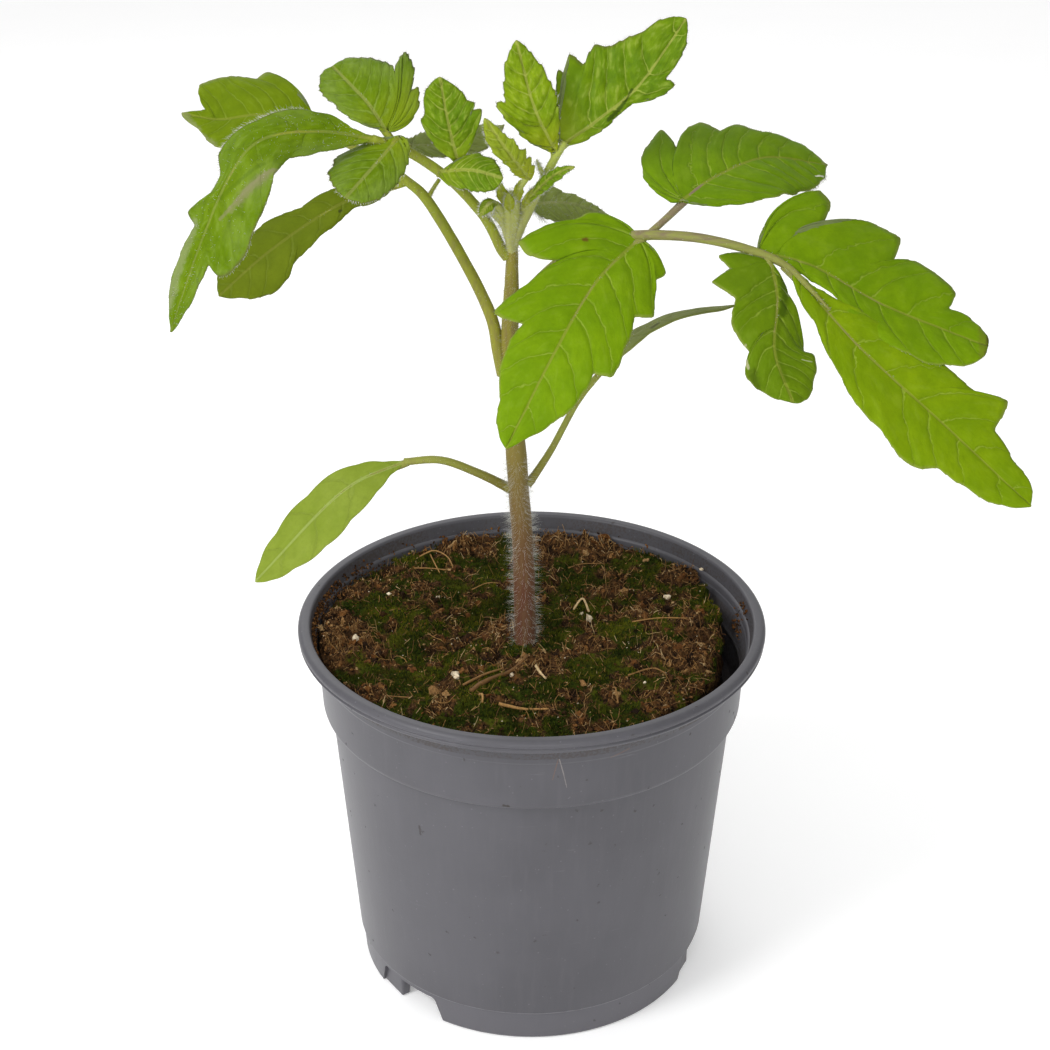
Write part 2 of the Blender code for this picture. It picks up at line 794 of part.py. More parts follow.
front_left = Blade(
    path=[(-30, -12, 230), (-35, -20, 226), (-41, -28, 221)],
    facing=(-0.15, -0.8, 0.58),
    left=[(0.0, 0.11), (0.18, 0.21), (0.46, 0.28), (0.7, 0.27), (0.9, 0.2)],
    right=[(0.12, 0.1), (0.34, 0.33), (0.6, 0.46), (0.66, 0.38), (0.8, 0.38), (0.95, 0.17)],
    fold=-0.1,
    droop=0.35,
)
upright_left = Blade(
    path=[(-17, -8, 222), (-19, -9, 231), (-21, -7, 242)],
    facing=(-0.05, -0.93, 0.36),
    left=[(0.18, 0.1), (0.38, 0.22), (0.58, 0.29), (0.66, 0.23), (0.85, 0.19), (0.97, 0.08)],
    right=[(0.18, 0.12), (0.38, 0.28), (0.6, 0.39), (0.58, 0.27), (0.68, 0.34), (0.69, 0.25), (0.81, 0.2), (0.93, 0.08)],
    fold=0.15,
    droop=0.25,
)
back_left = Blade(
    path=[(-31, -6, 226), (-19, 6, 223), (-7, 14, 225)],
    facing=(0, -0.6, 0.8),
    left=[(0.2, 0.08), (0.54, 0.14), (0.81, 0.09)],
    right=[(0.13, 0.08), (0.47, 0.12), (0.77, 0.13)],
)
small_left = Blade(
    path=[(-19, -10, 221), (-13, -14, 223), (-7, -16, 222)],
    facing=(0, -0.75, 0.65),
    left=[(0.08, 0.23), (0.44, 0.34), (0.75, 0.23)],
    right=[(0.16, 0.23), (0.6, 0.3), (0.9, 0.17)],
    fold=-0.1,
    droop=0.35,
)
leaf_left_upper = compound_leaf(
    "leaf_left_upper",
    [
        (-8.2, -6, 199.4),
        (-10.0, -6.1, 200.4),
        (-13, -7, 211),
        (-19, -9, 219),
        (-28, -11, 226),
        (-36, -14, 230),
    ],
    [1.5, 1.4, 1.4, 1.3, 1.2, 1.0],
    [
        (arched_left, [(-33, -13, 228.8)], 0.9),
        (round_left, [(-31, -12, 228)], 0.8),
        (front_left, [(-28, -11, 227)], 0.8),
        (upright_left, [(-18, -9, 218.6)], 0.8),
        (back_left, [(-30, -11, 227)], 0.8),
        (small_left, [(-21, -9.4, 220)], 0.7),
    ],
)
finish(leaf_left_upper, (0.14, 0.28, 0.02), 0.6)

# ---------------------------------------------------------------- top and back leaves
upright_top = Blade(
    path=[(5, -7, 225), (0, -9, 236), (-4, -6, 250)],
    facing=(-0.1, -0.93, 0.34),
    left=[(0.14, 0.11), (0.39, 0.22), (0.58, 0.3), (0.55, 0.21), (0.72, 0.17), (0.93, 0.07)],
    right=[(0.17, 0.09), (0.39, 0.18), (0.57, 0.19), (0.65, 0.17), (0.86, 0.09)],
    fold=0.15,
    droop=0.2,
)
end_top = Blade(
    path=[(6, -6, 226), (14, -4.4, 231.2), (24, -1, 239), (34, 2, 253)],
    facing=(0.1, -0.85, 0.5),
    left=[
        (0.09, 0.12),
        (0.25, 0.37),
        (0.26, 0.28),
        (0.35, 0.4),
        (0.38, 0.29),
        (0.56, 0.34),
        (0.6, 0.28),
        (0.81, 0.16),
        (0.97, 0.06),
    ],
    right=[(0.18, 0.05), (0.36, 0.04), (0.45, 0.04), (0.56, 0.11), (0.68, 0.16), (0.67, 0.09), (0.8, 0.09), (0.94, 0.05)],
    fold=0.15,
)
curled_top = Blade(
    path=[(0.5, -8, 217), (4, -12, 221), (9, -15, 224)],
    facing=(0, -0.8, 0.6),
    left=[(0.4, 0.1), (0.75, 0.08)],
    right=[(0.4, 0.13), (0.75, 0.09)],
    fold=0.3,
    droop=0.0,
)
leaf_top = compound_leaf(
    "leaf_top",
    [(-1.4, -6.3, 212.3), (0.2, -6.5, 213.4), (3, -7, 220), (5, -7, 224), (7, -6, 227)],
    [1.4, 1.4, 1.2, 1.1, 0.9],
    [
        (upright_top, [(4.5, -7, 223)], 0.7),
        (end_top, [(5, -6.5, 224.6)], 0.8),
        (curled_top, [(0, -6.6, 215)], 0.7),
    ],
    extra=[([(2.4, -7, 219), (1.4, -8, 221.4), (0.6, -8.6, 223.6)], [0.6, 0.5, 0.25])],
)
finish(leaf_top, (0.16, 0.30, 0.02), 0.6)

leaf_back = compound_leaf(
    "leaf_back",
    [(-4.5, -2.8, 207), (-3.7, -1.3, 207.6), (-1, 1, 210)],
    [1.2, 1.1, 0.9],
    [
        (
            Blade(
                path=[(-1, 1, 210), (8, 8, 208), (18, 14, 203)],
                facing=(0, -0.75, 0.65),
                left=[(0.1, 0.16), (0.29, 0.2), (0.46, 0.12), (0.72, 0.07)],
                right=[(0.05, 0.12), (0.31, 0.21), (0.72, 0.16)],
                fold=0.05,
            ),
            [(-3, -0.6, 208.4)],
            0.8,
        )
    ],
)
finish(leaf_back, (0.09, 0.14, 0.015), 0.6)

# ---------------------------------------------------------------- placing
axis = bpy.data.objects.new("pot_axis", None)
bpy.context.scene.collection.objects.link(axis)
for obj in (
    pot,
    soil,
    main_stem,
    shoot_tip,
    cotyledon_left,
    cotyledon_right,
    leaf_right,
    leaf_left_lower,
    leaf_left_upper,
    leaf_top,
    leaf_back,
):
    for holder in list(obj.users_collection):
        holder.objects.unlink(obj)
    parts.objects.link(obj)
    obj.parent = axis
axis.location = mm((*AXIS_FROM_ORIGIN, 0.0))
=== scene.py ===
"""A young tomato plant in a grey nursery pot, in full detail.

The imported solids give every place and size; this script adds what the eye
needs over them: the moulded pot, mossy soil, veined and hairy leaves.
Lengths are millimetres from the pot's axis at the standing plane until at()
turns them into metres.
"""

import math

import bmesh
import bpy
import numpy as np
from mathutils import Matrix, Vector, noise


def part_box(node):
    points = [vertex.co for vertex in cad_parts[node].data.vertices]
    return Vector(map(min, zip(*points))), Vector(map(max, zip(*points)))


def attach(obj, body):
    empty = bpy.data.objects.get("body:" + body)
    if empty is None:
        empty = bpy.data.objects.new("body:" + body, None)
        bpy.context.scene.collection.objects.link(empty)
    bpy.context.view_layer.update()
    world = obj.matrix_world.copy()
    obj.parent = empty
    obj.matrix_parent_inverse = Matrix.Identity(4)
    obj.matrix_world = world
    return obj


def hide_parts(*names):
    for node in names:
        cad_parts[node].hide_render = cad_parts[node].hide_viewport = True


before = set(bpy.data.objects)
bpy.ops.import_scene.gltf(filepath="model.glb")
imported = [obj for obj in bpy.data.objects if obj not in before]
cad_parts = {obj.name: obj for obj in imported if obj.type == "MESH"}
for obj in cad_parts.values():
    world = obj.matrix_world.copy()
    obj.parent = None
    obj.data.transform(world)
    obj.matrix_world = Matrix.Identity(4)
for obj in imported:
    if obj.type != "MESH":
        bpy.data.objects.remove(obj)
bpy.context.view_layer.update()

# ============================================================== studio
# A plain pale table in a white room that is brighter on the left, with a
# broad soft light high on that side and weaker ones in front and behind. The
# camera stands in front, looks down at the plant and has a longish lens.
EYE, TARGET, LENS, ROLL = (-1.8, -457.2, 361.2), (-1.8, 0.0, 126.3), 70.0, 0.16
SENSOR_WIDTH = 36.0
LIGHTS = [  # name, place, where it looks, width in metres, watts
    ("key_light", (-560, -420, 700), (0, 0, 130), 0.35, 4.2),
    ("front_light", (60, -900, 420), (0, 0, 100), 0.5, 2.4),
    ("back_light", (-250, 650, 650), (0, 0, 160), 0.6, 1.2),
]
WALLS = [  # share of the way from the left wall to the right one, brightness
    (0.0, 0.48), (0.14, 0.54), (0.3, 0.86), (0.5, 1.04), (0.68, 0.82), (0.86, 0.33), (1.0, 0.3),
]
TABLE_SIZE, TABLE_DROP = 6.0, 0.0002  # metres; the drop keeps it clear of the foot ring
pot_low, pot_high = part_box("pot")
AXIS = np.array([(pot_low[0] + pot_high[0]) / 2, (pot_low[1] + pot_high[1]) / 2, pot_low[2]])


def at(places):
    """Millimetres from the pot's axis to metres in the shared frame."""
    return np.asarray(places, float) * 0.001 + AXIS


camera = bpy.data.objects.new("camera", bpy.data.cameras.new("camera"))
camera.data.lens = LENS
camera.data.sensor_width = SENSOR_WIDTH
camera.data.clip_start = 0.01
eye, target = at(EYE), at(TARGET)
aim = Vector(target - eye).to_track_quat("-Z", "Y").to_matrix().to_4x4()
camera.matrix_world = Matrix.Translation(eye) @ aim @ Matrix.Rotation(math.radians(ROLL), 4, "Z")
bpy.context.scene.collection.objects.link(camera)
bpy.context.scene.camera = camera

for name, place, look, width, watts in LIGHTS:
    lamp = bpy.data.lights.new(name, "AREA")
    lamp.shape = "DISK"
    lamp.size = width
    lamp.energy = watts
    made = bpy.data.objects.new(name, lamp)
    where = Vector(at(place))
    made.location = where
    made.rotation_euler = (Vector(at(look)) - where).to_track_quat("-Z", "Y").to_euler()
    bpy.context.scene.collection.objects.link(made)

room = bpy.data.worlds.new("room")
room.use_nodes = True
walls = room.node_tree.nodes.new("ShaderNodeValToRGB")
ends = {0.0: 0, 1.0: -1}
for share, bright in WALLS:
    stop = walls.color_ramp.elements[ends[share]] if share in ends else walls.color_ramp.elements.new(share)
    stop.color = (bright, bright, bright, 1.0)
ways = room.node_tree.nodes.new("ShaderNodeTexCoord")
sides = room.node_tree.nodes.new("ShaderNodeSeparateXYZ")
fade = room.node_tree.nodes.new("ShaderNodeMapRange")
fade.inputs[1].default_value, fade.inputs[2].default_value = -1.0, 1.0
for start, end in (
    (ways.outputs["Generated"], sides.inputs[0]),
    (sides.outputs["X"], fade.inputs[0]),
    (fade.outputs[0], walls.inputs[0]),
    (walls.outputs[0], room.node_tree.nodes["Background"].inputs["Color"]),
):
    room.node_tree.links.new(start, end)
bpy.context.scene.world = room
bpy.context.scene.view_settings.view_transform = "Standard"


class Value:
    """A socket in a finish, on which sums are written as on a number."""

    def __init__(self, finish, socket):
        self.finish = finish
        self.socket = socket

    def sum(self, operation, *others):
        terms = dict(enumerate((self, *others)))
        return self.finish.node("ShaderNodeMath", {"operation": operation}, terms)

    def __add__(self, other):
        return self.sum("ADD", other)

    def __sub__(self, other):
        return self.sum("SUBTRACT", other)

    def __mul__(self, other):
        return self.sum("MULTIPLY", other)

    def __truediv__(self, other):
        return self.sum("DIVIDE", other)

    def __rsub__(self, other):
        flipped = {0: other, 1: self}
        return self.finish.node("ShaderNodeMath", {"operation": "SUBTRACT"}, flipped)

    __radd__ = __add__
    __rmul__ = __mul__

    def size(self):
        return self.sum("ABSOLUTE")

    def step(self, low, high):
        """0 below low and 1 above high, smooth between, and falling if high is under low."""
        terms = {"Value": self, 1: low, 2: high, 3: 0.0, 4: 1.0}
        if isinstance(low, (int, float)) and isinstance(high, (int, float)) and high < low:
            terms.update({1: high, 2: low, 3: 1.0, 4: 0.0})
        return self.finish.node("ShaderNodeMapRange", {"interpolation_type": "SMOOTHSTEP"}, terms)


def dimmed(colour, share):
    """A colour, or any three numbers, times a share."""
    return tuple(share * c for c in colour)


class Finish:
    """A material under construction around one Principled shader."""

    def __init__(self, name, **constants):
        self.material = bpy.data.materials.new(name)
        self.material.use_nodes = True
        self.tree = self.material.node_tree
        self.shader = self.tree.nodes["Principled BSDF"]
        for socket, value in constants.items():
            self.shader.inputs[socket.replace("_", " ")].default_value = value

    def node(self, kind, settings=None, terms=None, out=0):
        made = self.tree.nodes.new(kind)
        for key, value in (settings or {}).items():
            setattr(made, key, value)
        for key, value in (terms or {}).items():
            self.feed(made.inputs[key], value)
        if isinstance(out, tuple):
            return [Value(self, made.outputs[key]) for key in out]
        return Value(self, made.outputs[out])

    def feed(self, socket, value):
        if isinstance(value, Value):
            self.tree.links.new(value.socket, socket)
        elif isinstance(value, tuple) and len(value) == 3 and socket.type == "RGBA":
            socket.default_value = (*value, 1.0)
        else:
            socket.default_value = value

    def give(self, socket, value):
        self.feed(self.shader.inputs[socket], value)

    def mix(self, factor, first, second):
        settings = {"data_type": "RGBA"}
        return self.node("ShaderNodeMix", settings, {0: factor, 6: first, 7: second}, 2)

    def vector(self, operation, *terms, out=0):
        return self.node("ShaderNodeVectorMath", {"operation": operation}, dict(enumerate(terms)), out)

    def tagged(self, name):
        """The number that the mesh carries under a name."""
        return self.node("ShaderNodeAttribute", {"attribute_name": name}, out="Fac")

    def cells(self, vector, scale):
        """How far a point lies from the nearest of many scattered middles."""
        return self.node("ShaderNodeTexVoronoi", None, {"Vector": vector, "Scale": scale}, "Distance")

    def place(self, stretch=(1.0, 1.0, 1.0)):
        """Where a point of the piece lies, in millimetres."""
        spot = self.node("ShaderNodeTexCoord", out="Object")
        return self.vector("MULTIPLY", spot, dimmed(stretch, 1000.0))

    def grain(self, vector, scale, detail=3.0, roughness=0.55):
        terms = {"Vector": vector, "Scale": scale, "Detail": detail, "Roughness": roughness}
        return self.node("ShaderNodeTexNoise", None, terms)

    def distance_from(self, vector, first, last):
        """How far a point lies from the stretch between two points."""
        first, last = (*first, 0.0), (*last, 0.0)
        leg = tuple(b - a for a, b in zip(first, last))
        square = max(sum(c * c for c in leg), 1e-9)
        aside = self.vector("SUBTRACT", vector, first)
        share = self.vector("DOT_PRODUCT", aside, tuple(c / square for c in leg), out="Value")
        share = share.sum("MAXIMUM", 0.0).sum("MINIMUM", 1.0)
        foot = self.node("ShaderNodeVectorMath", {"operation": "SCALE"}, {0: leg, "Scale": share})
        return self.vector("DISTANCE", aside, foot, out="Value")

    def bump(self, height, strength, distance):
        """Relief from a height in millimetres times distance."""
        terms = {"Strength": strength, "Distance": distance * 0.001, "Height": height}
        self.give("Normal", self.node("ShaderNodeBump", None, terms))


WHITE = (1.0, 1.0, 1.0, 1.0)
table_top = Finish("pale_table", Roughness=0.8, Emission_Color=WHITE, Emission_Strength=0.2)
cloudy = table_top.grain(table_top.place(), 0.02)
table_top.give("Base Color", table_top.mix(cloudy, (0.93, 0.93, 0.93), (0.96, 0.96, 0.96)))
table_place = (0.0, 0.0, float(pot_low[2]) - TABLE_DROP)
bpy.ops.mesh.primitive_plane_add(size=TABLE_SIZE, location=table_place)
table = bpy.context.object
table.name = "table"
table.data.materials.append(table_top.material)

# ============================================================== pot
# A thin-walled nursery pot, injection moulded in grey plastic: a rolled rim,
# a collar that steps in to a tapering wall, and a foot ring with drainage
# notches and stacking ribs. It stands on its foot ring.
RIM_RADIUS, LIP_RADIUS, RIM_TOP = 60.0, 56.8, 100.4
COLLAR_RADIUS, COLLAR_FOOT = 55.5, 77.6
WALL_TOP_RADIUS, WALL_FOOT_RADIUS, WALL_FOOT = 52.2, 47.0, 8.8
FOOT_RADIUS, WALL = 45.8, 1.3
FLOOR_UNDER = 7.4
POT_SECTORS = 240
NOTCH_ANGLES = (-45.0, 75.0, 195.0)  # from the front, towards +X
NOTCH_SIZE, NOTCH_MIDDLE, NOTCH_ROUND, NOTCH_FLARE = (19.2, 5.6, 9.0), 2.5, 1.1, 1.3
TOOTH_SIZE, TOOTH_RADIUS, TOOTH_ROUND, TOOTH_TURN = (10.0, 2.6, 7.8), 43.7, 0.5, -10.3
DRAIN_HOLES, DRAIN_CIRCLE, DRAIN_RADIUS, DRAIN_DEPTH = 6, 29.0, 3.5, 4.0
POT_GREY = (0.079, 0.077, 0.086)


def piece(name, places, faces, finishes, smooth=None):
    """An object from millimetre places, with its finishes and smooth shading."""
    mesh = bpy.data.meshes.new(name)
    mesh.from_pydata(at(places).tolist(), [], faces)
    for finish in finishes:
        mesh.materials.append(finish.material)
    mesh.shade_smooth()
    if smooth is not None:
        mesh.set_sharp_from_angle(angle=math.radians(smooth))
    made = bpy.data.objects.new(name, mesh)
    bpy.context.scene.collection.objects.link(made)
    return made


def stands_for(made, slot, *nodes):
    """The piece belongs to the one body and replaces CAD nodes; slot is not used."""
    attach(made, "root")
    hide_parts(*nodes)


def eased(corners, radius):
    """A line of corners with each one rounded off in three steps."""
    line = [np.array(corners[0], float)]
    for before, corner, after in zip(corners, corners[1:], corners[2:]):
        corner = np.array(corner, float)
        back, ahead = np.array(before) - corner, np.array(after) - corner
        reach = min(radius, 0.45 * np.linalg.norm(back), 0.45 * np.linalg.norm(ahead))
        start = corner + back / np.linalg.norm(back) * reach
        end = corner + ahead / np.linalg.norm(ahead) * reach
        for t in np.linspace(0.0, 1.0, 4):
            line.append((1 - t) ** 2 * start + 2 * t * (1 - t) * corner + t**2 * end)
    line.append(np.array(corners[-1], float))
    return np.array(line)


def around(angle, radius):
    """A point round the pot's axis; the angle runs from the front towards +X."""
    turn = math.radians(angle)
    return radius * math.sin(turn), -radius * math.cos(turn)


inner_collar = COLLAR_RADIUS - WALL
pot_profile = eased(
    [
        (0.0, WALL_FOOT),
        (44.7, WALL_FOOT),
        (WALL_FOOT_RADIUS - WALL, WALL_FOOT + 1.0),
        (WALL_TOP_RADIUS - WALL, COLLAR_FOOT - 0.6),
        (inner_collar - 1.1, COLLAR_FOOT + 1.5),
        (inner_collar, 86.4),
        (inner_collar - 0.35, 86.9),
        (inner_collar - 0.3, 87.7),
        (inner_collar + 0.1, 88.2),
        (LIP_RADIUS, RIM_TOP - 0.6),
        (LIP_RADIUS + 0.35, RIM_TOP - 0.1),
        (59.1, RIM_TOP),
        (RIM_RADIUS, RIM_TOP - 0.8),
        (RIM_RADIUS, 98.7),
        (RIM_RADIUS - 0.45, 98.4),
        (RIM_RADIUS - 0.4, 98.1),
        (RIM_RADIUS - 0.1, 97.8),
        (RIM_RADIUS - 0.4, 97.1),
        (58.4, 96.9),
        (COLLAR_RADIUS + 0.6, 96.6),
        (COLLAR_RADIUS, 96.0),
        (COLLAR_RADIUS, 94.3),
        (COLLAR_RADIUS - 0.22, 94.0),
        (COLLAR_RADIUS - 0.3, 91.4),
        (COLLAR_RADIUS - 0.5, 91.0),
        (COLLAR_RADIUS - 1.1, COLLAR_FOOT + 0.9),
        (COLLAR_RADIUS - 1.6, COLLAR_FOOT),
        (WALL_TOP_RADIUS + 0.3, COLLAR_FOOT - 0.4),
        (WALL_TOP_RADIUS, COLLAR_FOOT - 1.4),
        (WALL_FOOT_RADIUS, WALL_FOOT),
        (FOOT_RADIUS + 0.55, WALL_FOOT - 0.4),
        (FOOT_RADIUS, 0.0),
        (FOOT_RADIUS - 1.6, 0.0),
        (FOOT_RADIUS - 1.3, FLOOR_UNDER),
        (0.0, FLOOR_UNDER),
    ],
    0.5,
)


def band(a, b, count):
    """Faces between two rings of vertices, numbered from a and from b."""
    return [(a + k, b + k, b + (k + 1) % count, a + (k + 1) % count) for k in range(count)]


def turned(profile, sectors):
    """Places and faces of a profile of (radius, height) turned round the axis."""
    turns = np.arange(sectors) / sectors * math.tau
    ring = np.stack([np.cos(turns), np.sin(turns)], 1)
    places, starts = [], []
    for radius, height in profile:
        starts.append(len(places))
        if radius < 1e-6:
            places.append((0.0, 0.0, height))
        else:
            places.extend([(radius * c, radius * s, height) for c, s in ring])
    faces = []
    for (near, a), (far, b) in zip(zip(profile, starts), zip(profile[1:], starts[1:])):
        if near[0] < 1e-6:
            faces.extend((a, b + k, b + (k + 1) % sectors) for k in range(sectors))
        elif far[0] < 1e-6:
            faces.extend((a + k, b, a + (k + 1) % sectors) for k in range(sectors))
        else:
            faces.extend(band(a, b, sectors))
    return places, faces


def boxed(size, place, turn, round_off, flare=1.0):
    """A box square to the pot's wall, its foot widened by flare and its edges rounded off."""
    work = bmesh.new()
    bmesh.ops.create_cube(work, size=1.0)
    for corner in work.verts:
        if corner.co.z < 0:
            corner.co.x *= flare
    stand = Matrix.Translation(at(place)) @ Matrix.Rotation(math.radians(turn), 4, "Z")
    work.transform(Matrix.Diagonal((*[s * 0.001 for s in size], 1.0)))
    edges, round_off = list(work.edges), round_off * 0.001
    bmesh.ops.bevel(work, geom=edges, offset=round_off, segments=3, profile=0.5, affect="EDGES")
    work.transform(stand)
    mesh = bpy.data.meshes.new("tool")
    work.to_mesh(mesh)
    work.free()
    made = bpy.data.objects.new("tool", mesh)
    bpy.context.scene.collection.objects.link(made)
    return made


def combined(made, tools, operation):
    """The piece cut by or joined with tools, which are then thrown away."""
    for tool in tools:
        step = made.modifiers.new("join", "BOOLEAN")
        step.operation = operation
        step.object = tool
        step.solver = "MANIFOLD"
    graph = bpy.context.evaluated_depsgraph_get()
    mesh = bpy.data.meshes.new_from_object(made.evaluated_get(graph))
    made.modifiers.clear()
    made.data = mesh
    for tool in tools:
        bpy.data.objects.remove(tool, do_unlink=True)


SCRATCH, RUST, GRIME = (0.22, 0.20, 0.19), (0.16, 0.09, 0.06), (0.03, 0.024, 0.02)
SCUFFS = [  # x and height at both ends, width, tone, strength
    ((-10.0, 95.6), (-8.2, 88.0), 0.18, SCRATCH, 0.8),
    ((-8.2, 88.0), (-7.4, 84.0), 0.16, SCRATCH, 0.6),
    ((-9.2, 94.0), (-10.8, 86.5), 0.14, RUST, 0.6),
    ((3.0, 91.0), (7.5, 92.5), 0.2, RUST, 0.5),
    ((-22.4, 78.6), (-21.2, 78.5), 0.5, GRIME, 0.9),
    ((-43.4, 65.0), (-43.1, 62.4), 0.35, GRIME, 0.7),
    ((39.4, 55.0), (40.2, 50.0), 0.9, RUST, 0.3),
    ((33.0, 8.6), (43.4, 10.2), 0.45, GRIME, 0.5),
]


def plastic(name, grey, soiled, scuffs=()):
    """Moulded grey plastic with faint flow streaks, scuffs, specks and soil stains."""
    made = Finish(name, Specular_IOR_Level=0.22)
    spot = made.place()
    cloudy = made.grain(spot, 0.035, 4.0)
    fine = made.grain(spot, 1.6, 2.0)
    streak = made.grain(made.place(stretch=(1.0, 1.0, 0.12)), 0.5, 3.0)
    scuff = made.grain(made.place(stretch=(0.3, 0.3, 2.2)), 0.35, 4.0).step(0.66, 0.8)
    speck = made.cells(spot, 0.17)
    dirt = (speck + (fine - 0.5) * 0.3).step(0.09, 0.03)
    tone = made.mix(cloudy.step(0.3, 0.7), dimmed(grey, 0.96), dimmed(grey, 1.12))
    tone = made.mix(streak.step(0.45, 0.75) * 0.35, tone, dimmed(grey, 1.22))
    tone = made.mix(scuff * 0.3, tone, dimmed(grey, 2.4))
    across, height = made.node("ShaderNodeSeparateXYZ", None, {0: spot}, ("X", "Z"))
    height = height - float(pot_low[2]) * 1000
    # The foot ring below the step is lighter, and a broken pale line runs along the step.
    tone = made.mix(height.step(WALL_FOOT, WALL_FOOT - 0.6) * 0.6, tone, dimmed(grey, 1.45))
    step_line = (height - WALL_FOOT + 0.1).size().step(0.45, 0.1) * streak.step(0.35, 0.6)
    tone = made.mix(step_line * 0.6, tone, dimmed(grey, 3.0))
    fleck = made.cells(spot, 0.42)
    tone = made.mix((fleck + (fine - 0.5) * 0.2).step(0.1, 0.05) * 0.35, tone, dimmed(grey, 2.2))
    front = made.node("ShaderNodeCombineXYZ", None, {0: across, 1: height})
    for first, last, width, colour, strength in scuffs:
        near = made.distance_from(front, first, last) + (fine - 0.5) * width * 1.4
        tone = made.mix(near.step(width, width * 0.35) * strength, tone, colour)
    stain = (cloudy * 0.6 + fine * 0.5).step(0.5, 0.62) * soiled
    tone = made.mix(stain, tone, (0.045, 0.028, 0.015))
    made.give("Base Color", made.mix(dirt * 0.4, tone, (0.035, 0.028, 0.022)))
    made.give("Roughness", 0.32 + cloudy * 0.12 + dirt * 0.3 + scuff * 0.1 + stain * 0.3)
    made.bump(fine * 0.4 + streak * 0.35 + cloudy * 2.0 + dirt * 1.5, 0.35, 0.12)
    return made


outside = plastic("moulded_grey_plastic", POT_GREY, 0.0, SCUFFS)
# The inside is the same plastic painted 15 % darker as shade, with soil stains.
inside = plastic("soiled_and_shaded_grey_plastic", dimmed(POT_GREY, 0.85), 0.4)
places, faces = turned(pot_profile, POT_SECTORS)
pot = piece("nursery_pot", places, faces, [outside, inside])
for face in pot.data.polygons:
    middle = Vector(face.center) - Vector(AXIS)
    within_lip = math.hypot(middle.x, middle.y) < LIP_RADIUS * 0.001 + 1e-5
    above_floor = middle.z > (WALL_FOOT - 0.1) * 0.001
    looks_in = face.normal.x * middle.x + face.normal.y * middle.y < 1e-4 * abs(face.normal.z)
    face.material_index = int(within_lip and above_floor and looks_in)
tools = []
for angle in NOTCH_ANGLES:
    x, y = around(angle, FOOT_RADIUS - 0.4)
    tools.append(boxed(NOTCH_SIZE, (x, y, NOTCH_MIDDLE), angle, NOTCH_ROUND, NOTCH_FLARE))
for number in range(DRAIN_HOLES):
    place = at((*around(360.0 / DRAIN_HOLES * (number + 0.5), DRAIN_CIRCLE), 8.0))
    radius, depth = DRAIN_RADIUS * 0.001, DRAIN_DEPTH * 0.001
    bpy.ops.mesh.primitive_cylinder_add(vertices=40, radius=radius, depth=depth, location=place)
    tools.append(bpy.context.object)
combined(pot, tools, "DIFFERENCE")
teeth = []
for turn in [angle + TOOTH_TURN for angle in NOTCH_ANGLES]:
    middle = (*around(turn, TOOTH_RADIUS), TOOTH_SIZE[2] / 2)
    teeth.append(boxed(TOOTH_SIZE, middle, turn, TOOTH_ROUND))
combined(pot, teeth, "UNION")
pot.data.shade_smooth()
pot.data.set_sharp_from_angle(angle=math.radians(38.0))
stands_for(pot, "pot", "pot")

# ============================================================== soil
# Peaty potting soil in one root ball, grown over with dark moss between brown
# crumbs, fibres and grit. It has shrunk off the collar on the right, where its
# broken edge shows. The stem rises through a low mound on its top.
SOIL_TOP, SOIL_EDGE, SOIL_FOOT = 95.2, 95.0, 9.4
SOIL_SECTORS, SOIL_RINGS, SOIL_REACH = 400, 80, 55.0
SOIL_LEVELS = [94.2, 93.0, 91.5, 90.0, 88.0, 86.0, 84.0, 81.5, 79.0, 76.6, 60.0, 10.0]
SHRUNK_SIDE, SHRUNK_ANGLE, SHRUNK_SPREAD = 4.4, -12.0, 46.0
CLUMPS = [  # x, y, radius, height: brown crumbly heaps in the moss
    (-49, -4, 9, 1.3), (-40, -10, 6, 0.5), (37, -12, 9, 1.5), (41, 3, 6, 0.9), (-18, 48, 7, 2.2),
    (6, 48, 7, 2.4), (18, 46, 9, 2.6), (40, 30, 7, 1.4), (22, 20, 5, 0.9), (27, 8, 5, 0.7),
    (-9, -3, 7, 0.8), (2, -18, 9, 0.9), (12, -12, 5, 0.6), (-27, 14, 5, 0.5), (-20, -27, 5, 0.6),
    (34, -28, 6, 0.6), (-33, 30, 5, 0.5), (4, -41, 6, 0.3), (-47, 18, 5, 0.6), (-54, 4, 8, 2.2),
    (-52, -14, 8, 1.7), (-51, 20, 7, 1.4), (-44, -30, 7, 0.9), (30, -38, 6, 0.7), (33, 12, 5, 0.5),
]
rng = np.random.default_rng(7)


def wave(x, y, width, seed):
    """Smooth noise from about -1 to 1 with features width millimetres wide."""
    return noise.noise(Vector((x / width + seed, y / width - seed, seed * 1.7)))


def shrinkage(turn):
    """How far the root ball stands off the collar at an angle from +X."""
    off = abs((turn - SHRUNK_ANGLE + 180.0) % 360.0 - 180.0)
    if off >= SHRUNK_SPREAD:
        return 0.0
    return SHRUNK_SIDE * math.cos(math.pi / 2 * off / SHRUNK_SPREAD) ** 0.6


def ball_radius(turn, height):
    """The root ball's radius, with a ragged edge where it stands free."""
    low, high = 78.0, 96.0
    share = min(max((height - low) / (high - low), 0.0), 1.0)
    off = shrinkage(turn)
    a = math.radians(turn)
    ragged = 1.5 * wave(40 * a, height, 5.0, 2.0) + 0.8 * wave(40 * a, height, 1.9, 5.0)
    return 52.9 + 2.0 * share - off * (0.96 + 0.3 * share) + ragged * min(off / 2.0, 1.0)


def clump_at(x, y):
    """The height of the highest crumbly heap at a place."""
    heaps = [(h, ((x - cx) ** 2 + (y - cy) ** 2) / (0.5 * r * r)) for cx, cy, r, h in CLUMPS]
    return max(h * math.exp(-off) for h, off in heaps)


def mossy(x, y):
    """1 where moss grows and 0 on bare crumbs."""
    patch = 0.56 + 0.6 * wave(x, y, 9.0, 3.0) + 0.6 * wave(x, y, 3.6, 9.0) - 0.85 * clump_at(x, y)
    return min(max(patch * 1.6 - 0.2, 0.0), 1.0)


